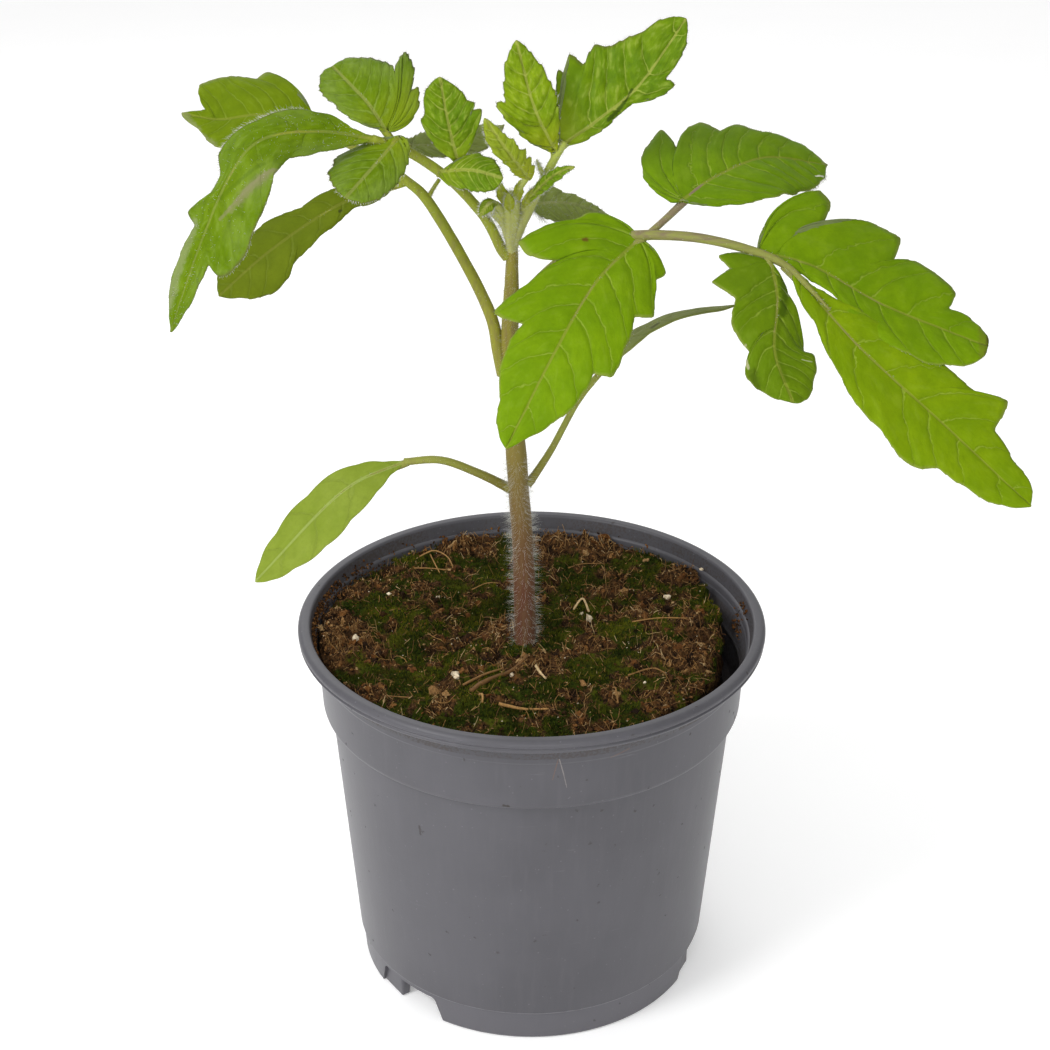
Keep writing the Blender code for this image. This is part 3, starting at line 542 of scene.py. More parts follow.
def ground(x, y):
    """The height of the soil's top, in millimetres."""
    broad = 0.9 * wave(x, y, 19.0, 1.0) + 1.3 * wave(x, y, 8.0, 4.0)
    moss = mossy(x, y)
    bare = 1 - moss
    fine = (0.9 + 1.1 * bare) * wave(x, y, 3.4, 6.0) + (0.3 + 0.8 * bare) * wave(x, y, 1.4, 8.0)
    mound = 0.8 * math.exp(-((x + 1.6) ** 2 + (y + 6.0) ** 2) / 90.0)
    return SOIL_TOP + broad + fine + mound + clump_at(x, y) + 0.35 * moss


def dryness_and_pit_shade(x, y):
    """0 in the pits, which are painted in shade, and 1 on the dry heads of the crumbly patches, which are
    painted lighter.
    """
    return min(max(0.5 + 0.9 * wave(x, y, 3.4, 6.0) + 0.5 * wave(x, y, 1.4, 8.0), 0.0), 1.0)


def soil_mesh(sectors, rings):
    """The root ball: its mossy top in fine rings, its side and its flat bottom."""
    places, moss, dry = [(0.0, 0.0, ground(0.0, 0.0))], [mossy(0.0, 0.0)], [0.5]
    turns = [360.0 * k / sectors for k in range(sectors)]
    edge = [ball_radius(turn, SOIL_EDGE) for turn in turns]
    for ring in range(1, rings + 1):
        share = (ring / rings) ** 0.8
        for turn, rim in zip(turns, edge):
            a, r = math.radians(turn), rim * share
            x, y = r * math.cos(a), r * math.sin(a)
            fall = 1.6 * max(0.0, (share - 0.955) / 0.045) ** 2
            places.append((x, y, ground(x, y) - fall))
            moss.append(mossy(x, y))
            dry.append(dryness_and_pit_shade(x, y))
    for height in SOIL_LEVELS:
        for turn in turns:
            a = math.radians(turn)
            r = ball_radius(turn, height)
            if height < 77.0:  # below the collar it fills the tapering wall
                r = 45.5 + (height - 10.0) / 66.6 * 5.2
            places.append((r * math.cos(a), r * math.sin(a), height - 0.7 * (height > 90)))
            moss.append(0.35 if height > 88 else 0.0)
            dry.append(0.3)
    places.append((0.0, 0.0, SOIL_FOOT))
    moss.append(0.0)
    dry.append(0.3)
    faces = [(0, 1 + k, 1 + (k + 1) % sectors) for k in range(sectors)]
    levels = rings + len(SOIL_LEVELS)
    for level in range(levels - 1):
        faces.extend(band(1 + level * sectors, 1 + (level + 1) * sectors, sectors))
    last, foot = 1 + (levels - 1) * sectors, len(places) - 1
    faces.extend((last + k, foot, last + (k + 1) % sectors) for k in range(sectors))
    return places, faces, moss, dry


def soil_piece(name, places, faces, finish, smooth=None, **tags):
    """A piece of the soil, with numbers at its vertices for its finish to read."""
    made = piece(name, places, faces, [finish], smooth)
    for tag, values in tags.items():
        numbers = made.data.attributes.new(tag, "FLOAT", "POINT")
        numbers.data.foreach_set("value", np.asarray(values, float))
    stands_for(made, "soil", "soil")


peat = Finish("mossy_peat", Roughness=0.95, Specular_IOR_Level=0.06)
spot = peat.place()
moss_here = peat.tagged("moss")
dry_and_unshaded_here = peat.tagged("dry")
crumb = peat.cells(spot, 1.1)
rough = peat.grain(spot, 0.9, 5.0, 0.7)
patch = peat.grain(spot, 0.16, 3.0)
hue = peat.grain(spot, 0.45, 2.0)
# The earth and the moss go near-black where the grain that raises their fine relief is low: painted shade in
# the small pits, over their own mottling.
earth = peat.mix(rough.step(0.34, 0.68), (0.009, 0.0045, 0.002), (0.105, 0.052, 0.020))
earth = peat.mix(hue.step(0.5, 0.72) * 0.6, earth, (0.15, 0.068, 0.022))
earth = peat.mix((0.42 - crumb).step(0.16, 0.38) * 0.45, earth, (0.24, 0.15, 0.07))
green = peat.mix(rough.step(0.32, 0.68), (0.006, 0.010, 0.001), (0.034, 0.050, 0.004))
green = peat.mix(patch.step(0.48, 0.7) * 0.6, green, (0.09, 0.095, 0.008))
# Painted shade: the earth goes near-black in the pits.
earth = peat.mix(dry_and_unshaded_here.step(0.45, 0.1) * 0.75, earth, (0.007, 0.0045, 0.003))
mask = (moss_here + (rough - 0.5) * 0.9).step(0.35, 0.7)
peat.give("Base Color", peat.mix(mask, earth, green))
peat.bump(rough * 1.0 + crumb * 0.7, 0.9, 0.9)

places, faces, moss, dry = soil_mesh(SOIL_SECTORS, SOIL_RINGS)
soil_piece("root_ball", places, faces, peat, moss=moss, dry=dry)

# ============================================================== moss
# Short upright moss shoots, each three narrow leaves on the soil, packed
# closely where it stays damp, each leaf painted darker at its foot as shade
# among the shoots.
MOSS_SHOOTS, LEAVES_EACH = 19000, 3
SHOOT_LOW, SHOOT_HIGH, SHOOT_EXTRA, EXTRA_SHARE = 0.25, 0.75, 0.35, 0.12
HALF_LEAF, ROOTED = 0.13, (0.0, 0.0, 0.25)
SUNNY_PLACE, SUNNY_SPREAD = (36, 6), 120.0


def on_soil(count, chance):
    """Places on the soil, kept with the chance that a function gives for each."""
    kept = []
    while len(kept) < count:
        turn, r = rng.random() * 360.0, SOIL_REACH * math.sqrt(rng.random())
        a = math.radians(turn)
        if r > ball_radius(turn, SOIL_EDGE) - 0.5:
            continue
        x, y = r * math.cos(a), r * math.sin(a)
        if rng.random() < chance(x, y):
            kept.append((x, y, ground(x, y)))
    return np.array(kept)


def moss_shoots():
    """All shoots as places, faces and shades, each leaf one narrow triangle."""
    feet = on_soil(MOSS_SHOOTS, lambda x, y: mossy(x, y) ** 1.5)
    places, faces, shade = [], [], []
    for foot in feet:
        turn, tall = rng.random() * math.tau, rng.uniform(SHOOT_LOW, SHOOT_HIGH)
        tall += SHOOT_EXTRA * (rng.random() < EXTRA_SHARE)
        off = (foot[0] - SUNNY_PLACE[0]) ** 2 + (foot[1] - SUNNY_PLACE[1]) ** 2
        sunny = math.exp(-off / SUNNY_SPREAD)
        damp = 0.3 + 0.6 * wave(foot[0], foot[1], 12.0, 12.0) + 0.35 * wave(foot[0], foot[1], 4.0, 13.0)
        bright = min(max(damp + 0.35 * sunny + rng.normal(0, 0.2), 0.0), 1.0)
        for leaf in range(LEAVES_EACH):
            a = turn + leaf * math.tau / LEAVES_EACH
            out = np.array([math.cos(a), math.sin(a), 0.0])
            side = np.array([-math.sin(a), math.cos(a), 0.0])
            n = len(places)
            places.append(foot + side * HALF_LEAF - ROOTED)
            places.append(foot - side * HALF_LEAF - ROOTED)
            places.append(foot + out * tall * rng.uniform(0.35, 0.8) + (0, 0, tall))
            faces.append((n, n + 1, n + 2))
            # The foot of each leaf is painted darker than its tip, as shade among the shoots.
            shade.extend([bright * 0.6, bright * 0.6, bright])
    return places, faces, shade


shoot_green = Finish("moss_green", Roughness=0.8, Specular_IOR_Level=0.08)
shade = shoot_green.tagged("shade")
tone = shoot_green.mix(shade, (0.007, 0.016, 0.001), (0.175, 0.175, 0.010))
dusty = shoot_green.grain(shoot_green.place(), 0.3).step(0.45, 0.75)
shoot_green.give("Base Color", shoot_green.mix(dusty * 0.6, tone, (0.085, 0.055, 0.012)))
places, faces, shades = moss_shoots()
soil_piece("moss", places, faces, shoot_green, shade=shades)

# ============================================================== crumbs and grit
# Loose peat crumbs, bark bits and a few pale mineral grains lying on the soil,
# pressed in a little. Some stick to the pot's inner wall, mostly on the left.
SMALL_CRUMBS, BIG_CRUMBS, FINE_GRAINS = 7600, 360, 110
STUCK = [  # angle from +X, spread, count, lowest and highest place of the crumbs on the wall
    (9, 2.5, 70, 90.0, 98.5),
    (180, 16, 620, 95.0, 98.6),
    (148, 10, 160, 93.0, 97.0),
    (95, 20, 90, 93.0, 97.0),
    (222, 12, 160, 95.0, 98.2),
]
GRIT = [  # x, y, size: the larger pale grains
    (-45, -6, 1.1), (15, 6, 1.3), (13, 8, 0.7), (-25, 16, 0.7), (-38, 19, 0.6), (36, 17, 0.8),
    (-5, -21, 0.8), (-19, -24, 1.3), (46, 30, 0.6), (28, -25, 0.5),
]
FLAKES = [  # x, y, size: tan flakes of bark
    (-24, -31, 1.5), (-21, -33, 1.0), (-46, -2, 1.3), (-49, 3, 1.2),
    (34, -18, 1.2), (38, -20, 1.1), (43, -8, 1.0), (44, 12, 0.9),
]


def wall_at(height):
    """The radius of the collar's inner wall at a height."""
    return inner_collar + (LIP_RADIUS - inner_collar) * (height - 88.0) / (RIM_TOP - 88.6)


def lump_shape(fineness):
    """A ball of triangles with radius 1."""
    work = bmesh.new()
    bmesh.ops.create_icosphere(work, subdivisions=fineness, radius=1.0)
    shape = np.array([v.co[:] for v in work.verts])
    faces = [tuple(v.index for v in f.verts) for f in work.faces]
    work.free()
    return shape, faces


def lumps(spots, sizes, shades, fineness=1, flat=0.7, dent=0.35):
    """Irregular grains at the spots, as places, faces and a shade for each vertex."""
    shape, pattern = lump_shape(fineness)
    places, faces, tones = [], [], []
    for number, (spot, size, tone) in enumerate(zip(spots, sizes, shades)):
        apart = Vector((number * 3.1, 0, 0))
        push = 1.0 + dent * np.array([noise.noise(Vector(p * 1.3) + apart) * 2 for p in shape])
        wide, deep, tall = rng.uniform(0.7, 1.3), rng.uniform(0.6, 1.1), rng.uniform(0.7, 1.2)
        stretch = size * np.array([wide, deep, flat * tall])
        turn = np.array(Matrix.Rotation(rng.random() * math.tau, 3, rng.normal(size=3)))
        grain = (shape * push[:, None] * stretch) @ turn.T + spot
        faces.extend(tuple(i + len(places) for i in face) for face in pattern)
        places.extend(grain)
        tones.extend([tone] * len(shape))
    return places, faces, tones


def crumbly(x, y):
    """How likely loose crumbs are to lie at a place."""
    return 0.14 + 0.86 * (1 - mossy(x, y)) ** 1.2


crumb_brown = Finish("peat_crumbs", Roughness=0.9, Specular_IOR_Level=0.08)
spot = crumb_brown.place()
shade = crumb_brown.tagged("shade")
ramp = crumb_brown.node("ShaderNodeValToRGB", None, {"Fac": shade}, "Color")
stops = ramp.socket.node.color_ramp.elements
stops[0].color = (0.010, 0.005, 0.003, 1.0)
stops[1].color = (0.50, 0.33, 0.15, 1.0)
stops.new(0.32).color = (0.055, 0.025, 0.009, 1.0)
stops.new(0.58).color = (0.17, 0.066, 0.017, 1.0)
stops.new(0.8).color = (0.32, 0.155, 0.048, 1.0)
speckle = crumb_brown.grain(spot, 2.2, 3.0, 0.7)
speckle_show = speckle.step(0.3, 0.75) * 0.75
crumb_brown.give("Base Color", crumb_brown.mix(speckle_show, ramp, (0.02, 0.012, 0.008)))
crumb_brown.bump(speckle, 0.8, 0.4)

small = on_soil(SMALL_CRUMBS, crumbly)
small_sizes = rng.uniform(0.12, 0.42, len(small))
small_dry_and_unshaded = np.array([dryness_and_pit_shade(x, y) for x, y, _ in small])
# Crumbs in the pits are painted darker as shade and those on the dry heads lighter.
small_shades = np.clip(rng.beta(1.5, 2.2, len(small)) + 0.7 * (small_dry_and_unshaded - 0.45), 0, 1)
big = on_soil(BIG_CRUMBS, lambda x, y: crumbly(x, y) ** 2)
big_sizes = 0.45 + 0.75 * rng.random(len(big)) ** 2
big_dry_and_unshaded = np.array([dryness_and_pit_shade(x, y) for x, y, _ in big])
# Big crumbs too are painted darker in the pits as shade and lighter on the dry heads.
big_shades = np.clip(rng.beta(1.6, 2.6, len(big)) + 0.6 * (big_dry_and_unshaded - 0.5), 0, 1)
stuck = []
for middle, spread, count, low, high in STUCK:
    for _ in range(count):
        turn = math.radians(rng.normal(middle, spread))
        height = rng.uniform(low, high)
        r = wall_at(height) - 0.2
        stuck.append((r * math.cos(turn), r * math.sin(turn), height))
first = lumps(small, small_sizes, small_shades, flat=0.5)
flake_spots = [(x, y, ground(x, y) + 0.5) for x, y, _ in FLAKES]
flake_sizes, flake_shades = [size for *_, size in FLAKES], [0.85] * len(FLAKES)
flakes = lumps(flake_spots, flake_sizes, flake_shades, fineness=2, flat=0.4, dent=0.8)
second = lumps(big, big_sizes, big_shades, fineness=2, dent=0.7)
stuck_sizes, stuck_shades = rng.uniform(0.15, 0.5, len(stuck)), rng.uniform(0.1, 0.8, len(stuck))
third = lumps(np.array(stuck), stuck_sizes, stuck_shades)


def gathered(*shapes):
    """Several lots of places, faces and vertex numbers as one."""
    places, faces, numbers = [], [], []
    for some_places, some_faces, some_numbers in shapes:
        faces.extend(tuple(i + len(places) for i in face) for face in some_faces)
        places.extend(some_places)
        numbers.extend(some_numbers)
    return places, faces, numbers


places, faces, shades = gathered(first, second, third, flakes)
soil_piece("peat_crumbs", places, faces, crumb_brown, smooth=50.0, shade=shades)

pale = Finish("pale_grit", Roughness=0.7, Specular_IOR_Level=0.3)
speckle = pale.grain(pale.place(), 1.2, 4.0)
pale.give("Base Color", pale.mix(speckle.step(0.35, 0.7), (0.72, 0.62, 0.45), (0.42, 0.32, 0.2)))
pale.bump(speckle, 0.6, 0.3)
grit_spots = [(x, y, ground(x, y) + size * 0.3) for x, y, size in GRIT]
fine_grit = on_soil(FINE_GRAINS, lambda x, y: 1.0)
sizes = [size for _, _, size in GRIT] + list(rng.uniform(0.1, 0.22, len(fine_grit)))
spots = np.vstack([grit_spots, fine_grit + (0, 0, 0.15)])
places, faces, _ = lumps(spots, sizes, [0.0] * len(sizes), fineness=2)
soil_piece("pale_grit", places, faces, pale, smooth=50.0)

# ============================================================== fibres and twigs
# Straw, root fibres and broken twigs from the peat, lying across the moss.
# The thick ones near the stem are laid one by one and the rest are strewn.
STREWN, LONG_EVERY, STREWN_REACH = 3000, 14, 54.0


def curve_through(points, spans=8):
    """A smooth line through the points, as closely spaced points."""
    knots = np.array(points, float)
    knots = np.vstack([2 * knots[0] - knots[1], knots, 2 * knots[-1] - knots[-2]])
    t = (np.arange(spans) / spans)[:, None]
    line = []
    for a, b, c, d in zip(knots, knots[1:], knots[2:], knots[3:]):
        square, cube = (2 * a - 5 * b + 4 * c - d) * t**2, (3 * b - a - 3 * c + d) * t**3
        line.append(0.5 * (2 * b + (c - a) * t + square + cube))
    return np.vstack([*line, knots[-2:-1]])


def unit(vectors):
    """The vectors at length 1."""
    return vectors / np.maximum(np.linalg.norm(vectors, axis=-1, keepdims=True), 1e-9)


def tube(line, radii, sides, knobbly=0.0, seed=0.0):
    """A closed round tube along a line, as places, faces and the run along it."""
    line = np.asarray(line, float)
    radii = np.interp(np.linspace(0, 1, len(line)), np.linspace(0, 1, len(radii)), radii)
    forward = unit(np.gradient(line, axis=0))
    side = unit(np.cross(forward[0], (0.31, 0.24, 0.92)))
    places, run = [], []
    reach = np.concatenate([[0.0], np.cumsum(np.linalg.norm(np.diff(line, axis=0), axis=1))])
    for k, (centre, way, radius) in enumerate(zip(line, forward, radii)):
        side = unit(side - way * np.dot(side, way))
        other = np.cross(way, side)
        for n in range(sides):
            a = math.tau * n / sides
            r = radius
            if knobbly:
                spot = Vector((math.cos(a) * 0.9 + seed, math.sin(a) * 0.9, reach[k] / (3 * radius)))
                r *= 1 + knobbly * noise.noise(spot)
            places.append(centre + (side * math.cos(a) + other * math.sin(a)) * r)
            run.append(reach[k])
    faces = [tuple(range(sides - 1, -1, -1))]
    for k in range(len(line) - 1):
        a, b = k * sides, (k + 1) * sides
        faces.extend((a + n, a + (n + 1) % sides, b + (n + 1) % sides, b + n) for n in range(sides))
    faces.append(tuple(range(len(places) - sides, len(places))))
    return places, faces, run


LAID = [  # points x, y, lift over the soil; radius at each end; shade
    ([(-15, -31, 0.3), (-11, -26.5, 0.8), (-5, -20, 1.3), (-1, -16, 1.6)], 0.7, 0.4, 0.2),
    ([(-17, -28, 0.3), (-12, -24, 0.8), (-7, -20, 0.9)], 0.35, 0.25, 0.3),
    ([(-8, -37, 0.4), (-2, -38.5, 0.9), (4, -40.5, 0.5)], 0.45, 0.22, 0.5),
    ([(-31, 41, 0.4), (-27, 42, 1.2), (-23, 38, 1.4), (-21, 32, 0.6)], 0.22, 0.16, 0.6),
    ([(-28, 42, 0.5), (-27, 37, 1.2), (-25, 31, 0.7)], 0.2, 0.15, 0.55),
    ([(-32, 33, 0.5), (-28, 33, 1.0), (-23, 32, 0.6)], 0.18, 0.16, 0.4),
    ([(26, 2, 0.6), (33, 2.6, 1.0), (41, 3.5, 0.8)], 0.17, 0.13, 0.5),
    ([(20, -28, 0.5), (20.5, -31, 1.6), (21, -35, 0.5)], 0.22, 0.18, 0.35),
    ([(1, -20, 0.7), (2, -22.5, 1.3), (3.4, -26, 0.7)], 0.4, 0.25, 0.97),
    ([(-13, -33, 0.3), (-12, -36, 1.2), (-12, -38, 0.4)], 0.4, 0.25, 0.6),
    ([(-40, -30, 0.5), (-33, -33, 0.8), (-26, -34, 0.4)], 0.16, 0.12, 0.35),
    ([(11, 10, 0.5), (13.4, 12, 2.2), (15, 8, 1.4)], 0.25, 0.3, 0.9),
    ([(-16, 22, 0.6), (-12, 24, 1.0), (-8, 24.6, 0.7)], 0.15, 0.1, 0.6),
    ([(24, -22, 0.5), (30, -19, 1.0), (33, -23, 0.6)], 0.22, 0.14, 0.4),
    ([(10, 32, 0.6), (14, 35, 1.0), (20, 36, 0.7)], 0.15, 0.12, 0.35),
]
strands = []
for points, thick, thin, shade_there in LAID:
    path = curve_through([(x, y, ground(x, y) + lift) for x, y, lift in points], 6)
    strands.append((*tube(path, [thick, (thick + thin) / 2, thin], 7, 0.25, thick), shade_there))
for number, foot in enumerate(on_soil(STREWN, lambda x, y: 0.08 + 0.92 * crumbly(x, y) ** 1.5)):
    long_one = number % LONG_EVERY == 0
    turn = rng.random() * math.tau
    length = rng.uniform(2.0, 5.5) if long_one else rng.uniform(0.5, 1.8)
    bend, steep = rng.normal(0, 0.25 if long_one else 0.1), abs(rng.normal())
    path = []
    for share in np.linspace(-0.5, 0.5, 6 if long_one else 4):
        a = turn + bend * share * 2
        x, y = foot[0] + length * share * math.cos(a), foot[1] + length * share * math.sin(a)
        lift = 0.25 + (0.5 if long_one else 1.1) * steep * (share + 0.5)
        path.append((x, y, ground(x, y) + lift))
    if max(math.hypot(p[0], p[1]) for p in path) > STREWN_REACH:
        continue
    radius = rng.uniform(0.05, 0.12)
    # Fibres in the pits are painted darker as shade and those on the dry heads paler.
    pale_one = 0.4 * (dryness_and_pit_shade(foot[0], foot[1]) - 0.4)
    shade_there = min(max(rng.beta(1.3, 2.6) + pale_one, 0.0), 1.0)
    strands.append((*tube(path, [radius, radius * 0.5], 4), shade_there))
places, faces, shades = gathered(*[(p, f, [s] * len(p)) for p, f, _, s in strands])
fibre = Finish("straw_and_fibre", Roughness=0.75, Specular_IOR_Level=0.3)
along = fibre.grain(fibre.place(), 1.5, 4.0, 0.7)
shade = fibre.tagged("shade")
tone = fibre.mix(shade.step(0.0, 0.55), (0.08, 0.03, 0.008), (0.36, 0.19, 0.055))
tone = fibre.mix(shade.step(0.55, 1.0), tone, (0.66, 0.48, 0.25))
fibre.give("Base Color", fibre.mix(along.step(0.35, 0.75) * 0.55, tone, (0.05, 0.03, 0.015)))
fibre.bump(along, 0.8, 0.3)
soil_piece("straw_and_twigs", places, faces, fibre, shade=shades)

# ============================================================== main stem
# The stout green stem of the young plant, purple-brown near the soil and
# greener upwards, set all round with long white hairs that stand straight out.
BROWN_EDGE, UPRIGHT = (0.16, 0.11, 0.05), (1.0, 1.0, 0.12)
STEM = [  # x, y, z, radius
    (-1.6, -6, 84, 2.9), (-1.7, -6, 94, 2.8), (-2.1, -6, 119, 2.65), (-3.2, -6, 136, 2.6),
    (-4.0, -6, 148, 2.55), (-5.0, -6, 163, 2.4), (-5.6, -6, 176, 2.2), (-5.2, -6, 188, 1.9),
    (-5.0, -6, 197, 1.5), (-5.0, -6, 204, 1.3), (-5.0, -6.3, 212, 1.5),
]
STEM_HAIRS = [  # count, length, first and last share of the stem's height
    (2600, 2.8, 0.06, 0.40),
    (900, 1.3, 0.38, 0.7),
    (900, 1.0, 0.65, 0.99),
]


def stalk_line(stalk, spans):
    """The line through a stalk's (x, y, z, radius) points, and their radii."""
    return curve_through([point[:3] for point in stalk], spans), [point[3] for point in stalk]


def skin(name, low_tone, high_tone, start, end, edge_tone=BROWN_EDGE, grain_way=UPRIGHT):
    """Stalk skin that changes tone with height, streaked lengthwise and finely pored."""
    depth = {"Subsurface_Weight": 0.1, "Subsurface_Radius": (0.0012, 0.0014, 0.0004)}
    made = Finish(name, Roughness=0.5, Specular_IOR_Level=0.16, **depth)
    spot = made.place()
    rise = made.node("ShaderNodeSeparateXYZ", None, {0: spot}, "Z")
    streak = made.grain(made.place(stretch=grain_way), 1.1, 3.0)
    pores = made.grain(spot, 2.6, 3.0, 0.7)
    share = (rise * 0.001 + (streak - 0.5) * 0.012).step((start + pot_low[2] * 1000) / 1000, end / 1000)
    tone = made.mix(share, low_tone, high_tone)
    tone = made.mix(streak.step(0.42, 0.72) * 0.45, tone, edge_tone)
    made.give("Base Color", made.mix(pores.step(0.58, 0.72) * 0.3, tone, dimmed(edge_tone, 1.3)))
    made.bump(streak * 0.8 + pores * 0.4, 0.5, 0.25)
    return made


stem_skin = skin("stem_skin", (0.112, 0.047, 0.027), (0.225, 0.20, 0.03), 106, 180)
stem_line, stem_radii = stalk_line(STEM, 16)
places, faces, _ = tube(stem_line, stem_radii, 32, 0.05)
main_stem = piece("main_stem_skin", places, faces, [stem_skin])
stands_for(main_stem, "main_stem", "main_stem")


def hairs(roots, ways, lengths, thick, droop=0.15):
    """Tapering three-sided hairs with a slight bend, from arrays of roots and ways."""
    roots, ways = np.asarray(roots, float), unit(np.asarray(ways, float))
    lengths = np.asarray(lengths, float)[:, None]
    side = unit(np.cross(ways, rng.normal(size=ways.shape)))
    other = np.cross(ways, side)
    lean = side * rng.normal(0, droop, (len(roots), 1))
    bend = (lean + other * rng.normal(0, droop, (len(roots), 1))) * lengths
    rings = []
    for share, width in ((-0.05, 1.0), (0.5, 0.65)):
        centre = roots + ways * lengths * share + bend * max(share, 0) ** 2
        for n in range(3):
            a = math.tau * n / 3
            rings.append(centre + (side * math.cos(a) + other * math.sin(a)) * thick * width)
    tips = roots + ways * lengths + bend
    places = np.stack([*rings, tips], 1).reshape(-1, 3)
    pattern = [(0, 1, 4, 3), (1, 2, 5, 4), (2, 0, 3, 5), (3, 4, 6), (4, 5, 6), (5, 3, 6)]
    faces = [tuple(7 * k + i for i in face) for k in range(len(roots)) for face in pattern]
    return places, faces, [0.0] * len(places)


def tube_hairs(line, radii, count, length, low=0.0, high=1.0, lift=0.15):
    """Hairs standing out from a tube: roots, ways and lengths."""
    line = np.asarray(line, float)
    forward = unit(np.gradient(line, axis=0))
    share = rng.uniform(low, high, count) * (len(line) - 1)
    k = share.astype(int).clip(0, len(line) - 2)
    part = (share - k)[:, None]
    centre, way = line[k] * (1 - part) + line[k + 1] * part, forward[k]
    radius = np.interp(share / (len(line) - 1), np.linspace(0, 1, len(radii)), radii)
    out = rng.normal(size=(count, 3))
    out = unit(out - way * np.sum(out * way, 1, keepdims=True))
    ways = unit(out + way * rng.normal(lift, 0.22, (count, 1)))
    return centre + out * radius[:, None] * 0.97, ways, length * rng.uniform(0.45, 1.15, count)


hair_white = Finish("white_hair", Roughness=0.55, Specular_IOR_Level=0.4, Alpha=0.7)
wisp = hair_white.grain(hair_white.place(), 0.6)
hair_white.give("Base Color", hair_white.mix(wisp, (0.80, 0.80, 0.74), (0.62, 0.63, 0.54)))


def joined_hairs(*lots):
    """Several lots of roots, ways and lengths as one."""
    return [np.concatenate(column) for column in zip(*lots)]


lots = joined_hairs(*[tube_hairs(stem_line, stem_radii, *zone, lift=0.0) for zone in STEM_HAIRS])
places, faces, _ = hairs(*lots, thick=0.02, droop=0.04)
stem_hairs = piece("stem_hairs", places, faces, [hair_white])
stands_for(stem_hairs, "main_stem", "main_stem")

# ============================================================== leaf blades
# Every blade is a thin soft sheet hung on its midrib. Side veins run forward
# from the midrib to the lobes, sunk in the upper side and proud below, and
# the tissue domes up between them. A finish reads where it lies from two
# maps: vein (which side vein, how far out) and flat (millimetres from the
# blade's base, along and across).
VEIN_SLANT = 1.05
CORNER = math.radians(48.0)  # where an edge turns more than this it stays sharp
EDGE_STEP, RIB_REACH, RIB_POINTS = 0.5, 0.93, 14
STALK_SIDES, RIB_SIDES, LEAF_HAIR = 18, 12, 0.035


class Blade:
    """A blade's midrib, facing and edges.

    An edge point is (along, out): how far along the midrib and how far from
    it, both as a share of the midrib's length. fold lifts both halves like an
    open book and droop bends their edges down.
    """

    def __init__(self, path, facing, left, right, fold=0.1, droop=0.3):
        self.line = curve_through(path, 12)
        steps = np.linalg.norm(np.diff(self.line, axis=0), axis=1)
        self.run = np.concatenate([[0.0], np.cumsum(steps)])
        self.length = self.run[-1]
        self.facing = np.array(facing, float)
        self.edges = {-1: left, 1: right}
        self.fold, self.droop = fold, droop

    def midrib(self, along):
        reach = np.clip(along, 0.0, 1.0) * self.length
        return np.stack([np.interp(reach, self.run, self.line[:, k]) for k in range(3)], -1)

    def place(self, along, out):
        """Points of the sheet, and which way its upper side looks there."""
        along, out = np.asarray(along, float), np.asarray(out, float)
        inside = np.clip(along, 0.0, 1.0)
        forward = unit(self.midrib(inside + 0.02) - self.midrib(inside - 0.02))
        across = unit(np.cross(forward, self.facing))
        upward = np.cross(across, forward)
        reach = (out * self.length)[..., None]
        lift = self.fold * np.abs(reach) - self.droop * reach**2 / self.length
        beyond = forward * ((along - inside) * self.length)[..., None]
        slope = self.fold - 2 * self.droop * np.abs(reach) / self.length
        looks = unit(upward - across * np.sign(reach) * slope)
        return self.midrib(inside) + beyond + across * reach + upward * lift, looks

    def edge(self, side):
        """One edge as closely spaced (along, out) shares, and the rows of its tips."""
        knots = np.array([(0.0, 0.0), *self.edges[side], (1.0, 0.0)]) * self.length
        legs = np.diff(knots, axis=0)
        size = np.linalg.norm(legs, axis=1)
        ways = legs / size[:, None]
        turns = [0.0]
        for a, b in zip(ways, ways[1:]):
            turns.append(math.atan2(a[0] * b[1] - a[1] * b[0], a[0] * b[0] + a[1] * b[1]))
        turns.append(0.0)
        line, tips = [], []
        for k, (leg, way) in enumerate(zip(size, ways)):
            first, last = way, way
            if 0 < k and abs(turns[k]) < CORNER:
                first = unit(ways[k - 1] + way)
            if k < len(ways) - 1 and abs(turns[k + 1]) < CORNER:
                last = unit(way + ways[k + 1])
            if 0 < k and turns[k] < -0.35:
                tips.append(len(line))
            count = max(2, int(leg / EDGE_STEP))
            t = (np.arange(count) / count)[:, None]
            curve = (2 * t**3 - 3 * t**2 + 1) * knots[k] + (t**3 - 2 * t**2 + t) * leg * first
            curve = curve + (3 * t**2 - 2 * t**3) * knots[k + 1] + (t**3 - t**2) * leg * last
            normal = np.array([-way[1], way[0]])
            line.extend(curve + normal * leg * 0.05 * np.sin(math.pi * t))
        line.append(knots[-1])
        line = np.array(line)
        for _ in range(2):
            line[1:-1] = 0.25 * line[:-2] + 0.5 * line[1:-1] + 0.25 * line[2:]
        return line / self.length, tips


def zipped(inner, outer, inner_at, outer_at):
    """Triangles between two chains of vertices, advancing by position."""
    faces, i, j = [], 0, 0
    while i < len(inner) - 1 or j < len(outer) - 1:
        if i == len(inner) - 1:
            step_inner = False
        elif j == len(outer) - 1:
            step_inner = True
        else:
            step_inner = inner_at[i + 1] <= outer_at[j + 1]
        faces.append((inner[i], outer[j], inner[i + 1] if step_inner else outer[j + 1]))
        i, j = (i + 1, j) if step_inner else (i, j + 1)
    return faces


def toothed(line, length, teeth, pitch, seed):
    """An edge with small forward teeth, teeth millimetres high and pitch apart."""
    legs = np.gradient(line, axis=0)
    outward = unit(np.stack([-legs[:, 1], legs[:, 0]], 1))
    arc = np.r_[0.0, np.cumsum(np.hypot(*np.diff(line, axis=0).T))] * length
    saw = (arc / pitch + 0.35 * np.sin(arc / 2.3 + seed) + seed) % 1.0
    window = np.clip(np.minimum(arc - 1.5, arc[-1] - arc - 1.0) / 2.5, 0.0, 1.0)
    return line + outward * (teeth / length * window * (saw**1.6 - 0.4))[:, None]


